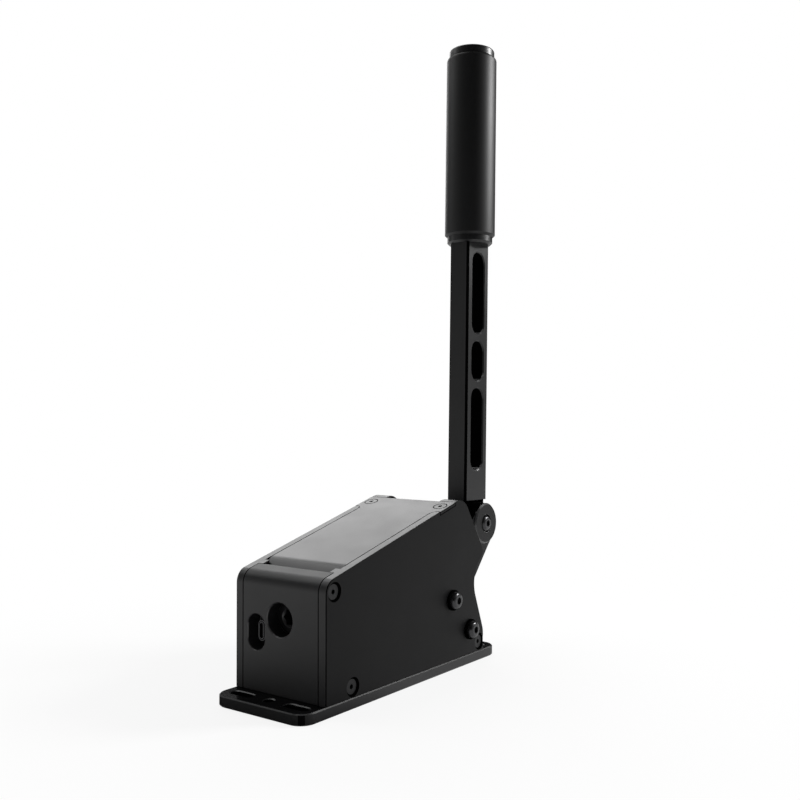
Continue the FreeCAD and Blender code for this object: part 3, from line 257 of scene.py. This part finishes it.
looks = {
    # plate, front and cover are lit and shaded copies of one anodised finish: darker for faces turned
    # aside, lighter and glossier for faces turned forward and up
    "plate": (blackAnodised, {"tone": (0.003, 0.003, 0.0032), "rough": 0.40, "grain": 0.0003,
                              "depth": 0.000008, "gleam": 0.1}),
    "base": (blackAnodised, {"tone": (0.002, 0.002, 0.0022), "rough": 0.16, "grain": 0.0003,
                             "depth": 0.000003, "gleam": 0.03}),
    "arm": (blackAnodised, {"tone": (0.005, 0.005, 0.0053), "rough": 0.38, "grain": 0.0003,
                            "depth": 0.000008, "gleam": 0.16}),
    # painted highlight: a lighter, glossier copy of the anodised finish for bevels and mouths where light
    # catches them
    "edge": (blackAnodised, {"tone": (0.02, 0.02, 0.021), "rough": 0.36, "grain": 0.0004,
                             "depth": 0.000001, "gleam": 0.8}),
    "front": (blackAnodised, {"tone": (0.008, 0.008, 0.0085), "rough": 0.42, "grain": 0.0003,
                              "depth": 0.000008, "gleam": 0.4}),
    "cover": (blackAnodised, {"tone": (0.009, 0.009, 0.0095), "rough": 0.30, "grain": 0.00038,
                              "depth": 0.000012, "gleam": 0.5}),
    "bar": (blackAnodised, {"tone": (0.005, 0.005, 0.0053), "rough": 0.34, "grain": 0.0003,
                            "depth": 0.000008, "gleam": 0.29}),
    "inner": (blackAnodised, {"tone": (0.014, 0.014, 0.015), "rough": 0.42, "grain": 0.0003,
                              "depth": 0.000008, "gleam": 0.4}),
    "oxide": (blackOxide, {"tone": (0.034, 0.034, 0.035), "rough": 0.24, "metal": 0.85}),
    "screwHead": (blackOxide, {"tone": (0.017, 0.017, 0.0175), "rough": 0.28, "metal": 0.9}),
    # painted shade: dead black with no gloss, for countersinks, seams, slot walls, gaps and the washers
    # under bolt heads
    "paintedShadeBlack": (glossBlack, {"tone": (0.001, 0.001, 0.001), "rough": 0.9, "gleam": 0.0}),
    "socketBlack": (glossBlack, {"tone": (0.004, 0.004, 0.0044), "rough": 0.35, "gleam": 0.12}),
    "resin": (softTouch, {"tone": (0.012, 0.012, 0.013), "rough": 0.45, "gleam": 0.4}),
    "nylon": (softTouch, {"tone": (0.55, 0.52, 0.44), "rough": 0.45, "gleam": 0.5}),
    "tin": (groundSteel, {"tone": (0.62, 0.61, 0.58), "rough": 0.25, "axis": "X"}),
    "shellSteel": (groundSteel, {"tone": (0.14, 0.14, 0.145), "rough": 0.25, "axis": "Y"}),
    "steel": (groundSteel, {"tone": (0.5, 0.5, 0.51), "rough": 0.22, "axis": "Y"}),
    "crossSteel": (groundSteel, {"tone": (0.5, 0.5, 0.51), "rough": 0.22, "axis": "X"}),
    "bronze": (groundSteel, {"tone": (0.5, 0.34, 0.15), "rough": 0.35, "axis": "X"}),
    "sleeve": (softTouch, {"tone": (0.005, 0.005, 0.0053), "rough": 0.44, "gleam": 0.28}),
    "gloss": (glossBlack, {"tone": (0.005, 0.005, 0.0055), "rough": 0.32, "gleam": 0.4}),
    "softPuck": (castUrethane, {"tone": (0.06, 0.16, 0.4)}),
    "mediumPuck": (castUrethane, {"tone": (0.5, 0.3, 0.04)}),
    "hardPuck": (castUrethane, {"tone": (0.4, 0.05, 0.035)}),
    "board": (solderMask, {"tone": (0.008, 0.02, 0.012)}),
}
finishes = {name: maker(name, look) for name, (maker, look) in looks.items()}
dressing = {
    "plate": ["side_plate_left", "side_plate_right"],
    "base": ["base_plate"],
    "front": ["front_plate"],
    "bar": ["lever_bar"],
    "arm": ["crank_arm_left", "crank_arm_right"],
    "inner": ["guide_block", "front_cross_bar", "rear_cross_bar", "arm_tie", "grip_core", "thrust_cup"],
    "oxide": ["base_screws", "side_bolts", "tie_screws", "ear_bolts", "grip_bolt", "pin_clips"],
    "socketBlack": ["preload_screw", "usb_port"],
    # painted shade: the washers under the bolt heads are dead black
    "paintedShadeBlack": ["bolt_washers"],
    "screwHead": ["side_screws"],
    "cover": ["top_cover", "cover_screws"],
    "steel": ["push_rod", "rod_collar", "front_puck_washer", "rear_puck_washer", "load_cell"],
    "crossSteel": ["pivot_shaft", "pivot_spacers", "rod_pin", "board_screws"],
    "bronze": ["pivot_bushes", "rod_bush"],
    "sleeve": ["grip_sleeve"],
    "gloss": ["grip_cap", "grip_collar"],
    "softPuck": ["soft_puck"],
    "mediumPuck": ["medium_puck"],
    "hardPuck": ["hard_puck"],
    "board": ["circuit_board"],
}
finishOf = {name: finish for finish, names in dressing.items() for name in names}
for name, node in nodes.items():
    node.data.materials.clear()
    node.data.materials.append(finishes[finishOf[name]])
print("finishes on", len(nodes), "nodes")


# pieces whose curved faces are shaded smooth

def takeUp(piece):
    # deselects all, then makes one piece active and selected
    bpy.ops.object.select_all(action="DESELECT")
    piece.select_set(True)
    bpy.context.view_layer.objects.active = piece


# lengths in metres and angles in degrees
curveAngle = 30
smoothing = {"weld": 0.000002, "flatWithin": 0.3, "sharpFrom": 60, "bevelSteps": 2, "bigFaces": 100}


def smoothCopy(nodeName, angle, softEdge):
    # a welded copy stands for a CAD piece, with smooth curves and, where asked, its sharp edges broken
    piece = nodes[nodeName].copy()
    piece.data = nodes[nodeName].data.copy()
    for key in list(piece.keys()):
        del piece[key]
    piece.parent = None
    piece.name = nodeName + "Smooth"
    bpy.context.scene.collection.objects.link(piece)
    takeUp(piece)
    bpy.ops.object.mode_set(mode="EDIT")
    bpy.ops.mesh.select_all(action="SELECT")
    bpy.ops.mesh.remove_doubles(threshold=smoothing["weld"])
    bpy.ops.mesh.dissolve_limited(angle_limit=math.radians(smoothing["flatWithin"]))
    bpy.ops.object.mode_set(mode="OBJECT")
    if softEdge:
        soften = piece.modifiers.new("softEdge", "BEVEL")
        soften.width = softEdge
        soften.use_clamp_overlap = False
        soften.segments = smoothing["bevelSteps"]
        soften.limit_method = "ANGLE"
        soften.angle_limit = math.radians(smoothing["sharpFrom"])
        bpy.ops.object.modifier_apply(modifier="softEdge")
    bpy.ops.object.shade_smooth_by_angle(angle=math.radians(angle))
    keepFlat = piece.modifiers.new("keepFlat", "WEIGHTED_NORMAL")
    keepFlat.weight = smoothing["bigFaces"]
    keepFlat.keep_sharp = True
    bpy.ops.object.modifier_apply(modifier="keepFlat")
    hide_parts(nodeName)
    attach(piece, bodyOf[nodeName])
    return piece


def paintFaces(piece, finishName, chosen):
    # the faces for which chosen(centre, normal) holds take another finish
    slot = len(piece.data.materials)
    piece.data.materials.append(finishes[finishName])
    for face in piece.data.polygons:
        if chosen(face.center, face.normal):
            face.material_index = slot


# angle of smoothing in degrees and width of the broken edges, 0.0 for edges left as they are
smoothed = {
    "base_plate": (24, 0.0), "side_plate_left": (24, 0.00028), "side_plate_right": (24, 0.00028),
    "front_plate": (24, 0.00028), "top_cover": (24, 0.00028), "lever_bar": (24, 0.0),
    "crank_arm_left": (24, 0.0002), "crank_arm_right": (24, 0.0002), "side_screws": (24, 0.0),
    "cover_screws": (24, 0.0), "side_bolts": (30, 0.0), "bolt_washers": (30, 0.0001),
    "ear_bolts": (30, 0.0), "usb_port": (24, 0.0), "preload_screw": (24, 0.0),
    "front_cross_bar": (24, 0.0), "rear_cross_bar": (24, 0.0), "guide_block": (24, 0.0002),
    "soft_puck": (30, 0.0), "medium_puck": (30, 0.0), "hard_puck": (30, 0.0),
}
smooth = {name: smoothCopy(name, angle, softEdge) for name, (angle, softEdge) in smoothed.items()}
print("smoothed", len(smooth), "pieces")

# the pucks flatten towards their front faces by these lengths as the lever is pulled; here each puck's copy
# only gets a mesh of its own, and the lengths are not used
puckPress = {"soft_puck": 0.002596, "medium_puck": 0.001558, "hard_puck": 0.001038}
for name, press in puckPress.items():
    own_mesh(smooth[name])

# finishes of single faces: painted highlights on bevels, painted shade in countersinks, slots and gaps and
# as dark lines along the seams, and lighter or darker copies of the anodised finish by which way a face
# points

# how much of a face's normal lies along an axis, from 0 to 1
turned = {"little": 0.3, "mostly": 0.93, "up": 0.8, "aside": 0.7, "whole": 0.98, "aTouch": 0.1}
# places and sizes on the housing
wear = {"slotReach": (0.0308, 0.0915), "plateMouths": 0.0585, "seamFrom": 0.02675, "seamTo": 0.0275,
        "sinkRadius": 0.0053, "sinkInside": 0.0323}
sideScrews = [(-0.0689, 0.0634), (-0.0541, 0.0117), (0.0705, 0.0117)]  # y and z of their axes
# the cover's two tabs: y of their ends, height of the upper rear edge, thickness along z, slope in degrees
tab = {"front": 0.0273, "rear": 0.0438, "rearTop": 0.10092, "thick": 0.00207, "clear": 0.0006,
       "slope": 15.07}
# the lever: axis of its ears, lean in degrees, half the depth that holds its slots, its lower end
lever = {"earAt": (0, 0.1069, 0.0812), "lean": 1.3, "slotHalf": 0.0082, "neckTop": 0.0955,
         "neckHalf": 0.0051}


def leans(part):
    return turned["little"] < abs(part) < turned["mostly"]


def alongX(normal):
    return abs(normal.x) < turned["little"]


def inBaseSlots(centre):
    wide, long = wear["slotReach"]
    return abs(centre.x) < wide and abs(centre.y) < long


def onBaseRim(centre, normal):
    return abs(normal.z) < turned["mostly"] and not inBaseSlots(centre)


def onSlotMouth(centre, normal):
    return leans(normal.z) and inBaseSlots(centre)


def onFrontLip(centre, normal):
    return normal.y < -turned["little"] and alongX(normal)


def onTopLip(centre, normal):
    return normal.z > turned["up"] and alongX(normal)


def onFrontEdge(centre, normal):
    return leans(normal.x) and normal.y < -turned["little"]


def inSink(centre, normal):
    near = any(math.hypot(centre.y - y, centre.z - z) < wear["sinkRadius"] for y, z in sideScrews)
    return near and abs(centre.x) < wear["sinkInside"]


def onSeam(centre, normal):
    # painted shade: both sides of the seams beside the side plates, and the ends and underside of the
    # cover's tabs, where the gaps are in shade
    along = wear["seamFrom"] < abs(centre.x) < wear["seamTo"] and turned["aTouch"] < abs(normal.x)
    tabFront, tabRear, clear = tab["front"], tab["rear"], tab["clear"]
    slope = math.radians(tab["slope"])
    nearTab = tabFront - clear < centre.y < tabRear + clear and abs(centre.x) > wear["seamFrom"]
    height = centre.z - tab["rearTop"] - (centre.y - tabRear) * math.tan(slope)
    acrossTab = min(abs(centre.y - tabFront), abs(centre.y - tabRear)) < clear
    level = normal.z * math.cos(slope) - normal.y * math.sin(slope)
    offSlope = level < turned["whole"]
    offSide = abs(normal.x) < turned["whole"]
    atEnds = nearTab and height > -tab["thick"] - clear and acrossTab and offSlope and offSide
    under = nearTab and abs(height + tab["thick"]) < clear and offSide
    return along or atEnds or under


def onArmFront(centre, normal):
    return alongX(normal) and normal.y < 0


def onArmRim(centre, normal):
    return leans(normal.x)


def acrossLever(centre):
    # distance in front of or behind the lever's own middle line
    lean = math.radians(lever["lean"])
    ahead = (centre.y - lever["earAt"][1]) * math.cos(lean)
    return ahead - (centre.z - lever["earAt"][2]) * math.sin(lean)


def nearSlots(centre):
    return abs(acrossLever(centre)) < lever["slotHalf"]


def onLeverCorner(centre, normal):
    return leans(normal.x) and acrossLever(centre) < -lever["slotHalf"]


def onLeverMouth(centre, normal):
    return leans(normal.x) and normal.z > turned["little"] and nearSlots(centre)


def inLeverSlot(centre, normal):
    neck = centre.z < lever["neckTop"] and abs(centre.x) < lever["neckHalf"]
    return neck or (alongX(normal) and normal.z < turned["up"] and nearSlots(centre))


def onSlotFloor(centre, normal):
    above = centre.z > lever["neckTop"]
    return nearSlots(centre) and above and alongX(normal) and normal.z > turned["up"]


def onPlateMouth(centre, normal):
    return leans(normal.y) and centre.z < wear["plateMouths"]


def onScrewRim(centre, normal):
    return leans(normal.y)


def onCoverSide(centre, normal):
    return abs(normal.x) > turned["aside"]


# later rules paint over earlier ones; the rules paint light and shade by face: lighter copies of the
# anodised finish on faces turned forward or up, a darker copy on faces turned aside, a painted highlight on
# bevels and mouths, and painted shade in countersinks, seams, slots and gaps
# side plates: faces turned forward and up painted lighter; forward bevels, countersinks and seams painted
# shade
sideRules = [("front", onFrontLip), ("cover", onTopLip), ("paintedShadeBlack", onFrontEdge), ("paintedShadeBlack", inSink),
             ("paintedShadeBlack", onSeam)]
# crank arms: forward faces painted shade under the lever, bevels a painted highlight
armRules = [("paintedShadeBlack", onArmFront), ("edge", onArmRim)]
paintRules = {
    # base: its rim painted with the lighter forward copy, its slot mouths a painted highlight
    "base_plate": [("front", onBaseRim), ("edge", onSlotMouth)],
    "side_plate_left": sideRules,
    "side_plate_right": sideRules,
    "crank_arm_left": armRules,
    "crank_arm_right": armRules,
    # lever: forward bevels, neck and slot walls painted shade; slot mouths and floors a painted highlight
    "lever_bar": [("paintedShadeBlack", onLeverCorner), ("edge", onLeverMouth), ("paintedShadeBlack", inLeverSlot),
                  ("edge", onSlotFloor)],
    # front plate: mouths a painted highlight, seams painted shade
    "front_plate": [("edge", onPlateMouth), ("paintedShadeBlack", onSeam)],
    # preload screw: its rim a painted highlight
    "preload_screw": [("edge", onScrewRim)],
    # cover: its sides the darker side-facing copy, its seams painted shade
    "top_cover": [("plate", onCoverSide), ("paintedShadeBlack", onSeam)],
}
for name, rules in paintRules.items():
    for finishName, chosen in rules:
        paintFaces(smooth[name], finishName, chosen)
print("faces painted on", len(paintRules), "pieces")


# grip, modelled upright over the ear axis and then leaned back with the lever

gripSides = 128
touching = 0.00001  # points closer than this to a height lie on it


def finishPiece(piece, nodeName):
    # lean, apply, shade and hang the piece on the lever in place of its CAD solid
    standing = Matrix.Translation(lever["earAt"]) @ Matrix.Rotation(math.radians(-lever["lean"]), 4, "X")
    piece.matrix_world = standing @ piece.matrix_world
    takeUp(piece)
    bpy.ops.object.transform_apply(location=True, rotation=True, scale=True)
    bpy.ops.object.shade_smooth_by_angle(angle=math.radians(curveAngle))
    piece.data.materials.append(finishes[finishOf[nodeName]])
    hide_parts(nodeName)
    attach(piece, bodyOf[nodeName])


def drum(name, size):
    # upright cylinder between two heights on the lever's axis
    low, high = size["low"], size["high"]
    bpy.ops.object.select_all(action="DESELECT")
    bpy.ops.mesh.primitive_cylinder_add(vertices=gripSides, radius=size["radius"], depth=high - low,
                                        location=(0, 0, (low + high) / 2))
    piece = bpy.context.object
    piece.name = name
    bpy.ops.object.transform_apply(location=True)
    return piece


def bevelRim(piece, height, size, segments):
    # bevels the rim that lies at one height
    takeUp(piece)
    bpy.ops.object.mode_set(mode="EDIT")
    bpy.ops.mesh.select_all(action="DESELECT")
    bpy.ops.mesh.select_mode(type="EDGE")
    bpy.ops.object.mode_set(mode="OBJECT")
    points = piece.data.vertices
    for edge in piece.data.edges:
        edge.select = all(abs(points[k].co.z - height) < touching for k in edge.vertices)
    bpy.ops.object.mode_set(mode="EDIT")
    bpy.ops.mesh.bevel(offset=size, segments=segments, profile=0.5, clamp_overlap=True)
    bpy.ops.object.mode_set(mode="OBJECT")


def sinkEnd(piece, height, inset, depth):
    # insets the end face at one height and presses its middle in
    takeUp(piece)
    bpy.ops.object.mode_set(mode="EDIT")
    bpy.ops.mesh.select_all(action="DESELECT")
    bpy.ops.mesh.select_mode(type="FACE")
    bpy.ops.object.mode_set(mode="OBJECT")
    for face in piece.data.polygons:
        face.select = abs(face.center.z - height) < touching and abs(face.normal.z) > turned["whole"]
    bpy.ops.object.mode_set(mode="EDIT")
    bpy.ops.mesh.inset(thickness=inset)
    bpy.ops.transform.translate(value=(0, 0, depth))
    bpy.ops.object.mode_set(mode="OBJECT")


# heights above the ear axis; a rim is its bevel's width and its steps
gripSleeve = {"low": 0.19434, "high": 0.31824, "radius": 0.0171, "foot": (0.0015, 1),
              "shoulder": (0.0024, 8), "bore": 0.01102, "sink": 0.0004}


def makeSleeve(size):
    piece = drum("gripSleeve", size)
    bevelRim(piece, size["low"], *size["foot"])
    bevelRim(piece, size["high"], *size["shoulder"])
    upperEnd = size["radius"] - size["shoulder"][0]
    lowerEnd = size["radius"] - size["foot"][0]
    sinkEnd(piece, size["high"], upperEnd - size["bore"], -size["sink"])
    sinkEnd(piece, size["low"], lowerEnd - size["bore"], size["sink"])
    finishPiece(piece, "grip_sleeve")


makeSleeve(gripSleeve)

gripCollar = {"low": 0.18912, "high": 0.19432, "radius": 0.0154, "foot": (0.0014, 1)}


def makeCollar(size):
    piece = drum("gripCollar", size)
    bevelRim(piece, size["low"], *size["foot"])
    finishPiece(piece, "grip_collar")


makeCollar(gripCollar)

gripCap = {"low": 0.31826, "high": 0.32356, "radius": 0.0155, "crown": (0.0014, 6)}


def makeCap(size):
    piece = drum("gripCap", size)
    bevelRim(piece, size["high"], *size["crown"])
    finishPiece(piece, "grip_cap")


makeCap(gripCap)
print("grip modelled")


# metal rims round the data port; forward is how far a rim's face stands before the port's place
port = {"at": (-0.01713, -0.0715, 0.0376), "reach": 0.00285, "sides": 48, "depth": 0.0003,
        "rings": [{"name": "portShellRim", "outer": 0.00165, "wall": 0.00013, "forward": 0.00004},
                  {"name": "portSleeveRim", "outer": 0.00255, "wall": 0.00014, "forward": -0.00025}]}


def ringFromDisc(wall, push):
    # leaves a ring of the disc that is being edited, gives it depth and turns its normals outward
    bpy.ops.mesh.select_mode(type="FACE")
    bpy.ops.mesh.select_all(action="SELECT")
    bpy.ops.mesh.inset(thickness=wall)
    bpy.ops.mesh.delete(type="FACE")
    bpy.ops.mesh.select_all(action="SELECT")
    bpy.ops.mesh.extrude_region_move(TRANSFORM_OT_translate={"value": push})
    bpy.ops.mesh.select_all(action="SELECT")
    bpy.ops.mesh.normals_make_consistent(inside=False)
    bpy.ops.object.mode_set(mode="OBJECT")


def portRing(look, ring):
    # upright obround ring, open in the middle
    x, y, z = look["at"]
    bpy.ops.object.select_all(action="DESELECT")
    bpy.ops.mesh.primitive_circle_add(vertices=look["sides"], radius=ring["outer"], fill_type="NGON",
                                      location=(x, y - ring["forward"], z), rotation=(math.pi / 2, 0, 0))
    piece = bpy.context.object
    piece.name = ring["name"]
    bpy.ops.object.transform_apply(location=True, rotation=True)
    for side in (1, -1):
        # the upper half of the circle moves up and the lower half down
        bpy.ops.object.mode_set(mode="EDIT")
        bpy.ops.mesh.select_all(action="DESELECT")
        bpy.ops.mesh.select_mode(type="VERT")
        bpy.ops.object.mode_set(mode="OBJECT")
        for point in piece.data.vertices:
            point.select = (point.co.z - z) * side > touching
        bpy.ops.object.mode_set(mode="EDIT")
        bpy.ops.transform.translate(value=(0, 0, look["reach"] * side))
        bpy.ops.object.mode_set(mode="OBJECT")
    bpy.ops.object.mode_set(mode="EDIT")
    ringFromDisc(ring["wall"], (0, look["depth"], 0))
    bpy.ops.object.shade_smooth_by_angle(angle=math.radians(curveAngle))
    piece.data.materials.append(finishes["shellSteel"])
    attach(piece, bodyOf["usb_port"])


for ring in port["rings"]:
    portRing(port, ring)
print("data port rimmed")

# packages on the circuit board, whose face lies at this x
boardFace = -0.01878
chipShape = {"lift": 0.0001, "edge": 0.00015, "legSunk": 0.00002, "legHalf": 0.0002, "legLong": 0.0008,
             "legShare": 0.45, "legEdge": 0.00006, "edgeSteps": 2}
chips = [
    {"name": "mainChip", "at": (-0.034, 0.037), "size": (0.010, 0.010), "high": 0.0012, "legs": 8,
     "pitch": 0.001, "finish": "resin"},
    {"name": "cellAmplifier", "at": (-0.046, 0.048), "size": (0.009, 0.004), "high": 0.0014, "legs": 7,
     "pitch": 0.00115, "finish": "resin"},
    {"name": "cellSocket", "at": (-0.018, 0.036), "size": (0.010, 0.0045), "high": 0.0030, "legs": 4,
     "pitch": 0.002, "finish": "nylon"},
]


def block(name, low, high, edge, finishName):
    # bevelled block between two corners
    bpy.ops.object.select_all(action="DESELECT")
    middle = [(a + b) / 2 for a, b in zip(low, high)]
    bpy.ops.mesh.primitive_cube_add(size=1, location=middle)
    piece = bpy.context.object
    piece.name = name
    piece.scale = [b - a for a, b in zip(low, high)]
    bpy.ops.object.transform_apply(location=True, scale=True)
    bpy.ops.object.mode_set(mode="EDIT")
    bpy.ops.mesh.select_all(action="SELECT")
    bpy.ops.mesh.bevel(offset=edge, segments=chipShape["edgeSteps"])
    bpy.ops.object.mode_set(mode="OBJECT")
    piece.data.materials.append(finishes[finishName])
    return piece


def makeChip(chip, shape):
    # a package flat on the board, with a row of legs along both long sides
    y, z = chip["at"]
    wide, tall = chip["size"]
    low = (boardFace + shape["lift"], y - wide / 2, z - tall / 2)
    high = (boardFace + chip["high"], y + wide / 2, z + tall / 2)
    parts = [block(chip["name"], low, high, shape["edge"], chip["finish"])]
    start = y - (chip["legs"] - 1) / 2 * chip["pitch"]
    for side in (1, -1):
        edge = z + side * tall / 2
        tip = edge + side * shape["legLong"]
        low = (boardFace - shape["legSunk"], start - shape["legHalf"], min(edge, tip))
        high = (boardFace + chip["high"] * shape["legShare"], start + shape["legHalf"], max(edge, tip))
        leg = block(chip["name"] + "Leg", low, high, shape["legEdge"], "tin")
        row = leg.modifiers.new("row", "ARRAY")
        row.use_relative_offset = False
        row.use_constant_offset = True
        row.constant_offset_displace = (0, chip["pitch"], 0)
        row.count = chip["legs"]
        bpy.ops.object.modifier_apply(modifier="row")
        parts.append(leg)
    bpy.ops.object.select_all(action="DESELECT")
    for part in parts:
        part.select_set(True)
    bpy.context.view_layer.objects.active = parts[0]
    bpy.ops.object.join()
    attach(parts[0], bodyOf["circuit_board"])


for chip in chips:
    makeChip(chip, chipShape)
print("board detailed with", len(chips), "packages")

# painted shade: thin dead-black rings over the clearance round the two cover screws, where the gap round
# each head is in shade
screwRing = {"node": "cover_screws", "name": "coverScrewRing", "head": 0.0039, "outer": 0.00445,
             "wall": 0.00058, "depth": 0.00004, "sides": 48}


def makeScrewRing(look, side):
    low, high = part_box(look["node"])
    head = look["head"]
    slope = math.radians(tab["slope"])
    # a head's outer, front and rear edges are the screws' outermost, foremost and highest points
    top = (side * (high[0] - head), low[1] + head * math.cos(slope), high[2] - head * math.sin(slope))
    bpy.ops.object.select_all(action="DESELECT")
    bpy.ops.mesh.primitive_circle_add(vertices=look["sides"], radius=look["outer"], fill_type="NGON",
                                      location=top, rotation=(slope, 0, 0))
    piece = bpy.context.object
    piece.name = look["name"] + ("Right" if side > 0 else "Left")
    bpy.ops.object.mode_set(mode="EDIT")
    ringFromDisc(look["wall"], (0, 0, look["depth"]))
    bpy.ops.object.transform_apply(location=True, rotation=True)
    piece.data.materials.append(finishes["paintedShadeBlack"])
    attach(piece, bodyOf[look["node"]])


for side in (1, -1):
    makeScrewRing(screwRing, side)
print("cover screws ringed")

# stage and light
white = (1, 1, 1, 1)
black = (0, 0, 0, 1)
stageLook = {"floorSize": 6.0, "floorTone": 0.9, "floorRough": 0.9, "shadowShare": 0.16, "fadeFrom": 0.12,
             "fadeTo": 0.36, "mirrored": 0.8, "cardAt": (-0.01, -0.09, 0), "cardFrom": 0.03, "cardTo": 0.11}


def makeFloor(look):
    # pale floor that keeps the object's shadow and fades into the white background
    bpy.ops.object.select_all(action="DESELECT")
    bpy.ops.mesh.primitive_plane_add(size=look["floorSize"], location=(0, 0, 0))
    floor = bpy.context.object
    floor.name = "floor"
    finish = Finish("floor")
    finish.set(Base_Color=(look["floorTone"],) * 3 + (1,), Roughness=look["floorRough"])
    glow = finish.node("ShaderNodeEmission", {}, {"Color": white, "Strength": 1.0})
    reach = finish.node("ShaderNodeVectorMath", {"operation": "LENGTH"}, {0: finish.place}, "Value")
    near = finish.node("ShaderNodeMapRange", {"interpolation_type": "SMOOTHSTEP"},
                       {"Value": reach, "From Min": look["fadeFrom"], "From Max": look["fadeTo"],
                        "To Min": look["shadowShare"], "To Max": 0.0})
    direct, mirrored = finish.shownRays()
    share = direct.combine("MAXIMUM", mirrored * look["mirrored"]) * (1 - near)
    matt = Signal(finish, finish.shader.outputs[0])
    mixed = finish.node("ShaderNodeMixShader", {}, {0: share, 1: matt, 2: glow})
    # a dark card in front of the object, met only by mirrored rays
    dark = finish.node("ShaderNodeEmission", {}, {"Color": black, "Strength": 0.0})
    fromCard = finish.node("ShaderNodeVectorMath", {"operation": "DISTANCE"},
                           {0: finish.place, 1: look["cardAt"]}, "Value")
    card = finish.node("ShaderNodeMapRange", {"interpolation_type": "SMOOTHSTEP"},
                       {"Value": fromCard, "From Min": look["cardFrom"], "From Max": look["cardTo"],
                        "To Min": 1.0, "To Max": 0.0})
    mixed = finish.node("ShaderNodeMixShader", {}, {0: mirrored * card, 1: mixed, 2: dark})
    finish.put(finish.tree.nodes["Material Output"].inputs["Surface"], mixed)
    floor.data.materials.append(finish.material)


makeFloor(stageLook)

# a flag darkens the mirrored wall towards one side, down to the share it keeps
studio = {"fill": 0.3, "wall": 0.4, "ceiling": 0.06, "wallTo": 0.0, "ceilingFrom": 0.25,
          "flags": [{"towards": (0.6, -0.8, 0.0), "from": 0.55, "to": 0.92, "keep": 0.04},
                    {"towards": (-0.55, 0.83, 0.0), "from": 0.6, "to": 0.92, "keep": 0.1}]}
world = bpy.data.worlds.new("studio")
bpy.context.scene.world = world
world.use_nodes = True
sky = Wiring(world.node_tree)
fill = sky.node("ShaderNodeBackground", {}, {"Color": white, "Strength": studio["fill"]})
whiteSky = sky.node("ShaderNodeBackground", {}, {"Color": white, "Strength": 1.0})
heading = sky.node("ShaderNodeTexCoord", {}, {}, "Generated")
rise = sky.node("ShaderNodeSeparateXYZ", {}, {0: heading}, "Z")
wall = sky.node("ShaderNodeMapRange", {"interpolation_type": "SMOOTHSTEP"},
                {"Value": rise, "From Min": studio["wallTo"], "From Max": studio["ceilingFrom"],
                 "To Min": studio["wall"], "To Max": studio["ceiling"]})
for flag in studio["flags"]:
    ahead = sky.node("ShaderNodeVectorMath", {"operation": "DOT_PRODUCT"},
                     {0: heading, 1: flag["towards"]}, "Value")
    wall = wall * sky.node("ShaderNodeMapRange", {"interpolation_type": "SMOOTHSTEP"},
                           {"Value": ahead, "From Min": flag["from"], "From Max": flag["to"],
                            "To Min": 1.0, "To Max": flag["keep"]})
darkSky = sky.node("ShaderNodeBackground", {}, {"Color": black, "Strength": 1.0})
direct, mirrored = sky.shownRays()
room = sky.node("ShaderNodeMixShader", {}, {0: mirrored, 1: fill, 2: darkSky})
seen = direct.combine("MAXIMUM", mirrored * wall)
mixSky = sky.node("ShaderNodeMixShader", {}, {0: seen, 1: room, 2: whiteSky})
sky.put(sky.tree.nodes["World Output"].inputs["Surface"], mixSky)

lamps = {
    "coverBox": {"at": (-0.85, 0.85, 0.72), "aim": (0, 0.0, 0.08), "size": (0.9, 0.5), "power": 4.1},
    "topBox": {"at": (-0.62, -0.05, 1.15), "aim": (0, 0.0, 0.08), "size": (0.9, 0.9), "power": 4.5},
    "rightStrip": {"at": (0.84, 0.97, 0.82), "aim": (0, 0.11, 0.30), "size": (0.35, 0.45), "power": 18},
    "leftStrip": {"at": (-1.2, -0.36, 0.75), "aim": (0, 0.11, 0.30), "size": (0.25, 0.9), "power": 1.0},
    "frontPanel": {"at": (-0.95, -1.3, 0.20), "aim": (0, 0, 0.08), "size": (0.9, 0.9), "power": 1.2},
}
for lampName, lamp in lamps.items():
    light = bpy.data.lights.new(lampName, "AREA")
    light.shape = "RECTANGLE"
    light.size, light.size_y = lamp["size"]
    light.energy = lamp["power"]
    holder = bpy.data.objects.new(lampName, light)
    holder.location = lamp["at"]
    away = Vector(lamp["at"]) - Vector(lamp["aim"])
    holder.rotation_euler = away.to_track_quat("Z", "Y").to_euler()
    bpy.context.scene.collection.objects.link(holder)

# the camera solved from the housing's edges; angles in degrees, lens and sensor in millimetres
photoCamera = {"at": (0.3494, -0.4396, 0.1545), "azimuth": 36.60, "pitch": 0.844, "lens": 42.70,
               "sensor": 36, "near": 0.01}
lensData = bpy.data.cameras.new("photoCamera")
lensData.lens = photoCamera["lens"]
lensData.sensor_width = photoCamera["sensor"]
lensData.clip_start = photoCamera["near"]
cameraObject = bpy.data.objects.new("photoCamera", lensData)
cameraObject.location = photoCamera["at"]
tilt = math.radians(90 + photoCamera["pitch"])
cameraObject.rotation_euler = (tilt, 0, math.radians(photoCamera["azimuth"]))
bpy.context.scene.collection.objects.link(cameraObject)
bpy.context.scene.camera = cameraObject
bpy.context.scene.view_settings.view_transform = "Standard"
print("camera and", len(lamps), "lamps placed")
